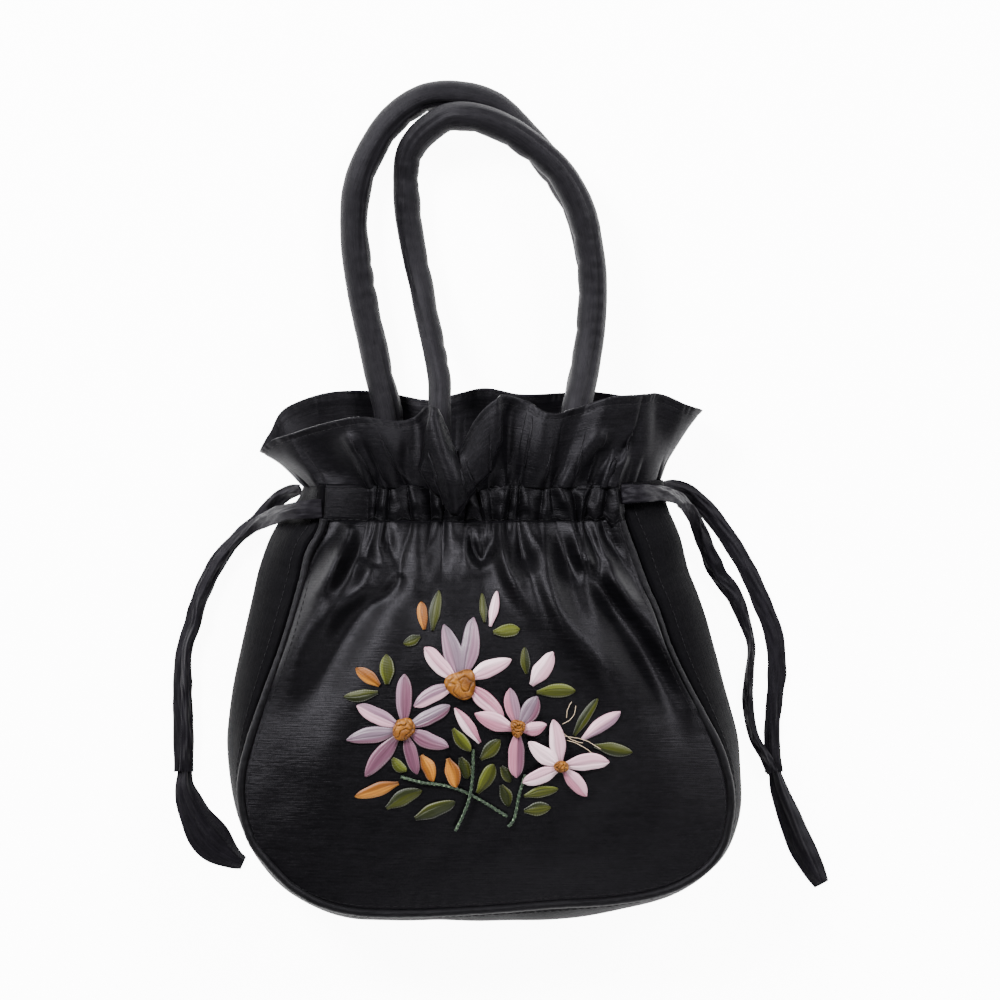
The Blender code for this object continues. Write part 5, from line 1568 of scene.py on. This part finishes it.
def petal_arrays(spec, lift, tones, seed, rise=1.0):
    """Ribbon stitch. With t from root to tip and s across, its half width is
    (0.2 + 0.8 ease(t)) times an end that closes from another place on each side, its height
    is (1 - s^2)^0.8, tilted to one side and creased, and lengthwise ribs gather at the root
    and the tip. The tone runs from one edge to the other, partly the ribbon's own two tones
    and partly painted light and shade on the two sides of its lengthwise fold. Painted shade
    darkens it in the ribs' valleys, in the crease, at the root and towards the tip, and it is
    paler along the selvedges."""
    draw = np.random.default_rng(seed)
    root, tip, side, width = petal_line(spec)
    t = np.linspace(0.0, 1.0, 43)[:, None]
    s = np.linspace(-1.0, 1.0, 19)[None, :]
    tilt = draw.uniform(-1.0, 1.0)
    lean = draw.uniform(-0.10, 0.10)
    full = draw.uniform(0.30, 0.66, 2)
    from_full = np.where(s > 0.0, full[0], full[1])
    end = np.clip(1.0 - np.clip((t - from_full) / (1.0 - from_full), 0.0, 1.0) ** 2.0, 0.0, 1.0)
    end = np.maximum(end, 0.05) ** 0.62
    half = 0.52 * width * (0.20 + 0.80 * ease(t, -0.08, 0.46)) * end
    half = half * (1.0 + 0.05 * np.sin(7.0 * t + draw.uniform(0, 6.28)))
    bend = width * (0.10 * draw.uniform(-1, 1) * hump(t) + lean * t * (1.0 - t)
                    + draw.uniform(-0.16, 0.16) * ease(t, 0.55, 1.05))
    tip_in = 0.10 * width * (1.0 - end) * np.abs(s) ** 1.6
    run = t * np.linalg.norm(tip - root) - tip_in
    flat = root + run[..., None] * unit(tip - root) + (half * s + bend)[..., None] * side
    dome = (0.72 * np.clip(1.0 - s ** 2, 0.0, 1.0) ** 0.8 + 0.3 * tilt * s) \
        * (0.45 + 0.55 * hump(t) ** 0.7)
    phase = draw.uniform(0.0, 6.28, 3)
    cross = 0.05 * MM * np.sin(TURN * (run / (1.1 * MM) + 0.8 * s))
    ribs = 0.6 * np.cos(TURN * 1.6 * s + phase[0]) \
        + 0.5 * np.cos(TURN * 2.7 * s + phase[1] + 0.8 * t)
    gathered = 0.25 + 0.75 * (1.0 - t) ** 1.5 + 0.5 * ease(t, 0.75, 1.0)
    fold = draw.uniform(-0.5, 0.5)
    crease = bell(s - fold * (1.0 - 0.6 * t), 0.16)
    selvedge = bell(np.abs(s) - 0.93, 0.05)
    high = ground_grid(flat) + lift + 0.30 * MM + rise * PETAL_RISE * dome \
        + 0.15 * MM * ribs * gathered * (1.0 - 0.7 * s ** 4) + cross \
        - 0.30 * MM * crease * (0.4 + 0.6 * (1.0 - t)) + 0.10 * MM * selvedge
    grid = np.dstack((flat, high))
    # Painted light and shade: the two sides of the lengthwise fold take the two tones
    mix = ease(s - fold + 0.15 * np.sin(3.0 * t + phase[2]), -0.28, 0.28)[..., None]
    tone = tones[0] * (1.0 - mix) + tones[1] * mix
    # Painted shade: darker in the ribs' valleys, in the crease, at the root and towards the tip
    deep = 1.0 - 0.34 * np.clip(-ribs, 0.0, 1.0) * gathered - 0.30 * crease * (1.0 - 0.5 * t) \
        - 0.40 * bell(t, 0.14) - 0.16 * ease(t, 0.8, 1.0)
    pale = (0.05 + 0.22 * (0.5 + 0.5 * np.sin(TURN * run / (1.0 * MM)))) * selvedge
    tone = tone * deep[..., None] * (1.0 - pale[..., None]) + pale[..., None] * np.ones(3)
    across = np.broadcast_to(0.5 + 0.5 * s, grid.shape[:2]) + seed * 1.7
    down = np.broadcast_to(t, grid.shape[:2]) + seed * 0.37
    return wall_arrays(grid, PETAL_WALL, flat=np.dstack((across, down)),
                       tone=np.broadcast_to(tone, (*grid.shape[:2], 3)))


def lay(name, arrays, look):
    """Places an embroidered piece and remembers it, so that later ones rise over it."""
    laid.append(tree_of(*arrays[:2]))
    put_mesh(name + "_silk", arrays, look, (name,))


# Stems: three strands of thread twisted together
for number, (name, places) in enumerate(STEMS.items()):
    line = even_curve([bouquet_place(*place) for place in places], 150)
    lift = max(max(highest(laid, x, y, -1.0) - ground(x, y) + 0.1 * MM, 0.0)
               for x, y in line[::3])
    high = np.array([ground(x, y) for x, y in line[::10]])
    high = np.interp(np.arange(len(line)), np.arange(0, len(line), 10), high)
    path = np.column_stack((line, high + LAY_GAP + STEM_RADIUS + lift))
    run = arc(path)[:, None]
    turn = circle(STEM_SIDES)[None, :]
    strand = 3.0 * (turn - TURN * run / (5.4 * MM))
    size = STEM_RADIUS * (0.92 + 0.28 * np.cos(strand) + 0.10 * ripple(number, 4 * MM, run))
    sections = ring_sections(path, size, STEM_SIDES)
    fleck = np.clip(ripple(number + 7, 1.6 * MM, run, 0.5 * MM * turn) - 0.25, 0.0, 1.0)[..., None]
    # Painted shade: darker where the twisted strands dip in between each other
    shade = (0.55 + 0.45 * np.cos(strand))[..., None]
    tone = PINE * (0.35 + 0.65 * shade) * (1.0 - fleck) + FLECK * fleck
    lay(name, rod_arrays(sections, tone=tone), STEM_THREAD)

for number, (name, spec) in enumerate(LEAVES.items()):
    # Leaf tones at the two edges: partly their own greens and partly painted light and shade on the
    # two sides of the fold
    tones = ((OLIVE, MOSS), (FRESH, OLIVE), (MOSS, OLIVE))[number % 3]
    lay(name, petal_arrays(spec, petal_lift(spec), tones, 100 + number, 0.95), LEAF_SILK)
for number, (name, spec) in enumerate(BUDS.items()):
    orange = name in ORANGE_BUDS
    lay(name, petal_arrays(spec, petal_lift(spec), BUD_TONES[name], 200 + number, 1.1),
        ORANGE_SILK if orange else PINK_SILK)


def rosette_arrays(centre, sizes, low, seed, loops):
    """Folded ribbon knot. With q from rim to middle and a round it, the radius is cos and the
    height sin of a quarter turn. Ribbon folds are lumps of |noise| with a loose spiral
    |sin(loops a / 2 + 4 r)| among them, sharp in their valleys, where a dark brown is painted
    in as shade."""
    q = np.linspace(0.0, 1.0, 34)[:, None]
    a = circle(KNOT_SIDES)[None, :]
    r = np.cos(0.5 * math.pi * np.clip((q - 0.10) / 0.90, 0.0, 0.985)) ** 0.85
    x_in, y_in = np.cos(a) * r, np.sin(a) * r
    wander = 0.5 * ripple(seed, 2.6, x_in, y_in)
    lumps = np.abs(ripple(seed + 8, 0.72, x_in, y_in))
    spiral = np.abs(np.sin(0.5 * loops * a + 4.0 * r + 2.4 * wander)) ** 0.7
    spiral = np.clip(0.25 * spiral + 2.0 * lumps, 0.0, 1.0) ** 0.8
    bump = (spiral - 0.62) * (0.35 + 0.65 * hump(np.clip(r, 0.0, 1.0)))
    size = r * (1.0 + 0.10 * np.sin(loops * a + seed) * r + 0.05 * ripple(seed + 2, 1.2, a))
    z = np.where(q < 0.10, 0.0, 0.35 * MM) \
        + 2.0 * MM * np.sin(0.5 * math.pi * np.clip((q - 0.10) / 0.90, 0.0, 1.0)) ** 0.8 \
        + 1.2 * MM * bump * ease(q, 0.05, 0.25)
    x = centre[0] + sizes[0] * size * np.cos(a)
    y = centre[1] + sizes[1] * size * np.sin(a)
    sections = np.stack(np.broadcast_arrays(x, y, low + z), axis=-1)
    # Painted shade: the fold valleys turn dark brown
    valley = np.clip(1.0 - spiral / 0.65, 0.0, 1.0)[..., None]
    light = 0.5 + 0.5 * ripple(seed + 5, 1.4, x_in, y_in)[..., None]
    tone = (ORANGE * (1.0 - light) + AMBER * light) * (1.0 - valley) \
        + SHADE_BROWN * 0.55 * valley
    around = np.linspace(0.0, 3.0, KNOT_SIDES + 1)
    flat = np.stack(np.broadcast_arrays(around[None, :], 2.0 * q), axis=-1)
    return rod_arrays(sections, flat, np.broadcast_to(tone * 0.68, sections.shape))


# Flowers: petals round a small cone, with a folded knot on top. The cone's rings are given
# by their share of the knot's size and their height in mm
HUB_LEVELS = ((0.30, 0.20), (0.62, 0.35), (0.55, 1.0), (0.2, 1.2))
KNOT_LOOPS = (3, 2, 3, 2)
for number, (flower, centre_row) in enumerate(FLOWER_CENTRES.items()):
    centre = bouquet_place(*centre_row[:2])
    sizes = np.array(centre_row[2:]) * BOUQUET
    specs = []
    for row in FLOWER_PETALS[flower]:
        root = np.array(centre_row[:2]) * 0.45 + np.array(row[:2]) * 0.55
        specs.append((*root, *row[2:]))
    lift = max(petal_lift(spec) for spec in specs)
    parts = []
    for k, (spec, tones) in enumerate(zip(specs, PETAL_TONES[flower])):
        parts.append(petal_arrays(spec, lift + 0.12 * MM * (k % 3), tones,
                                  300 + 10 * number + k))
    turn = circle(HUB_SIDES)
    base = ground(*centre) + lift
    hub = np.array([np.column_stack((centre[0] + share * sizes[0] * np.cos(turn),
                                     centre[1] + share * sizes[1] * np.sin(turn),
                                     np.full(HUB_SIDES, base + high * MM)))
                    for share, high in HUB_LEVELS])
    parts.append(rod_arrays(hub, tone=np.broadcast_to(DUSTY * 0.7, hub.shape)))
    lay(flower + "_petals", joined(parts), PINK_SILK)
    top = max(highest(laid, *(centre + share * sizes * np.array((math.cos(a), math.sin(a)))), 0.0)
              for a in np.linspace(0.0, 6.0, 13) for share in (0.0, 0.5, 0.9))
    knot = rosette_arrays(centre, sizes, top - 0.45 * MM, 5 + number, KNOT_LOOPS[number])
    lay(flower + "_centre", knot, ORANGE_SILK)

# Loose threads by the flower on the right: start, end and bow on the photograph's grid
THREADS = (((562.0, 722.0), (575.0, 704.0), 4.0), ((563.0, 734.0), (600.0, 747.0), -3.0),
           ((560.0, 728.0), (582.0, 741.0), 2.5), ((566.0, 716.0), (571.0, 700.0), -1.5),
           ((566.0, 738.0), (592.0, 752.0), -2.0))
threads = []
for number, (start, end, bow) in enumerate(THREADS):
    a, b = from_picture((start, end))
    t = np.linspace(0.0, 1.0, 40)[:, None]
    side = unit(b - a)[::-1] * (1.0, -1.0)
    line = a + (b - a) * t + side * bow * PICTURE_STEP * hump(t) \
        + 0.10 * MM * ripple(120 + number, 0.5, t) * side
    over = np.array([max(highest(laid, x, y, -1.0), ground(x, y)) for x, y in line[::3]])
    over = running_mean(np.interp(np.arange(len(t)), np.arange(0, len(t), 3), over), 4)
    high = over + 0.35 * MM + 0.5 * MM * hump(t[:, 0])
    sections = ring_sections(np.column_stack((line, high)), THREAD_RADIUS, THREAD_SIDES)
    threads.append(rod_arrays(sections, tone=np.broadcast_to(BEIGE, sections.shape)))
put_mesh("loose_threads", joined(threads), STRAY_THREAD, ())


# Sewing
def stitch_arrays(line, out):
    """Row of sewn stitches along a line: each is a short round thread, thin at its ends and
    raised in the middle by half a sine."""
    run = arc(line)
    count = int(run[-1] / (STITCH + STITCH_GAP))
    at = (np.arange(count) + 0.5) * (run[-1] / count)
    t = np.array((0.0, 0.2, 0.5, 0.8, 1.0))
    place = at[:, None] + (t[None, :] - 0.5) * STITCH
    centre, normal = read_at(place, run, line), read_at(place, run, out)
    along = unit(centre[:, -1] - centre[:, 0])[:, None, :]
    side = unit(np.cross(along, normal))
    rise = hump(t)[None, :, None]
    centre = centre + normal * (STITCH_LIFT + 0.12 * MM * rise - 0.10 * MM)
    angle = circle(STITCH_SIDES)
    thick = 0.15 * MM * (0.55 + 0.45 * rise)[..., None]
    ring = np.cos(angle)[:, None] * side[:, :, None, :] \
        + np.sin(angle)[:, None] * normal[:, :, None]
    points = (centre[:, :, None, :] + thick * ring).reshape(-1, 3)
    shift = (np.arange(count) * len(t) * STITCH_SIDES)[:, None, None]
    quads = (cells(len(t), STITCH_SIDES, True)[None] + shift).reshape(-1, 4)
    caps = (end_caps(len(t), STITCH_SIDES)[None] + shift).reshape(-1, STITCH_SIDES)
    return points, [quads, caps], [points[quads, :2], points[caps, :2]], None


# Rows of stitches: grid, row or column, whether it is a ring, whether it is a column
SEWN = ((front_band_grid, 4, False, False), (front_band_grid, 31, False, False),
        (back_band_grid, 3, False, False), (back_band_grid, 21, False, False),
        (ruffle_grid, 4, True, False), (front_grid, 3, False, True),
        (front_grid, -4, False, True), (front_grid, -4, False, False),
        (gusset_grid, 2, False, True), (gusset_grid, -3, False, True))
rows = []
for grid, at, ring, column in SEWN:
    line, out = ((part[:, at] if column else part[at]) for part in (grid, normals(grid, ring)))
    rows.append(stitch_arrays(line, out))
put_mesh("seam_stitches", joined(rows), BLACK_THREAD, ())

# Pale floor, just under the bag: it glows, and more so where the camera sees it directly
side = np.linspace(-3.0, 3.0, 9)
floor_points = np.stack(np.broadcast_arrays(side[None, :], side[:, None], -0.4 * MM), axis=-1)
floor_mesh = bpy.data.meshes.new("floor")
floor_mesh.from_pydata(floor_points.reshape(-1, 3).tolist(), [],
                       cells(9, 9, False)[:, ::-1].tolist())
floor_look, floor_tree, floor_shader = new_material(
    "pale floor", Base_Color=(0.93, 0.93, 0.93, 1.0), Roughness=0.9,
    Emission_Color=(1.0, 1.0, 1.0, 1.0), Specular_IOR_Level=0.1)
grain_at = node(floor_tree, "ShaderNodeTexCoord")
grain = node(floor_tree, "ShaderNodeTexNoise", Vector=grain_at.outputs["Object"], Scale=400.0)
floor_tree.links.new(bumped(floor_tree, grain.outputs["Fac"], 0.05, 0.0003),
                     floor_shader.inputs["Normal"])
ray = node(floor_tree, "ShaderNodeLightPath")
floor_tree.links.new(times_plus(floor_tree, ray.outputs["Is Camera Ray"], 8.0, 2.6),
                     floor_shader.inputs["Emission Strength"])
floor_mesh.materials.append(floor_look)
in_scene("floor", floor_mesh)

# Soft studio light
world = bpy.data.worlds.new("studio")
bpy.context.scene.world = world
world.use_nodes = True
world.node_tree.nodes["Background"].inputs["Color"].default_value = (1.0, 1.0, 1.0, 1.0)
world.node_tree.nodes["Background"].inputs["Strength"].default_value = 0.14


def softbox(name, place, size, power):
    """Square soft light turned towards the bag."""
    data = bpy.data.lights.new(name, "AREA")
    data.size = size
    data.energy = power
    made = in_scene(name, data)
    made.location = place
    made.rotation_euler = (-Vector(place)).to_track_quat("-Z", "Y").to_euler()


softbox("light_left", (-1.4, 1.35, 1.75), 0.8, 165.0)
softbox("light_right", (1.5, 1.2, 1.6), 0.7, 80.0)
softbox("light_low", (0.4, -1.9, 1.6), 0.9, 24.0)
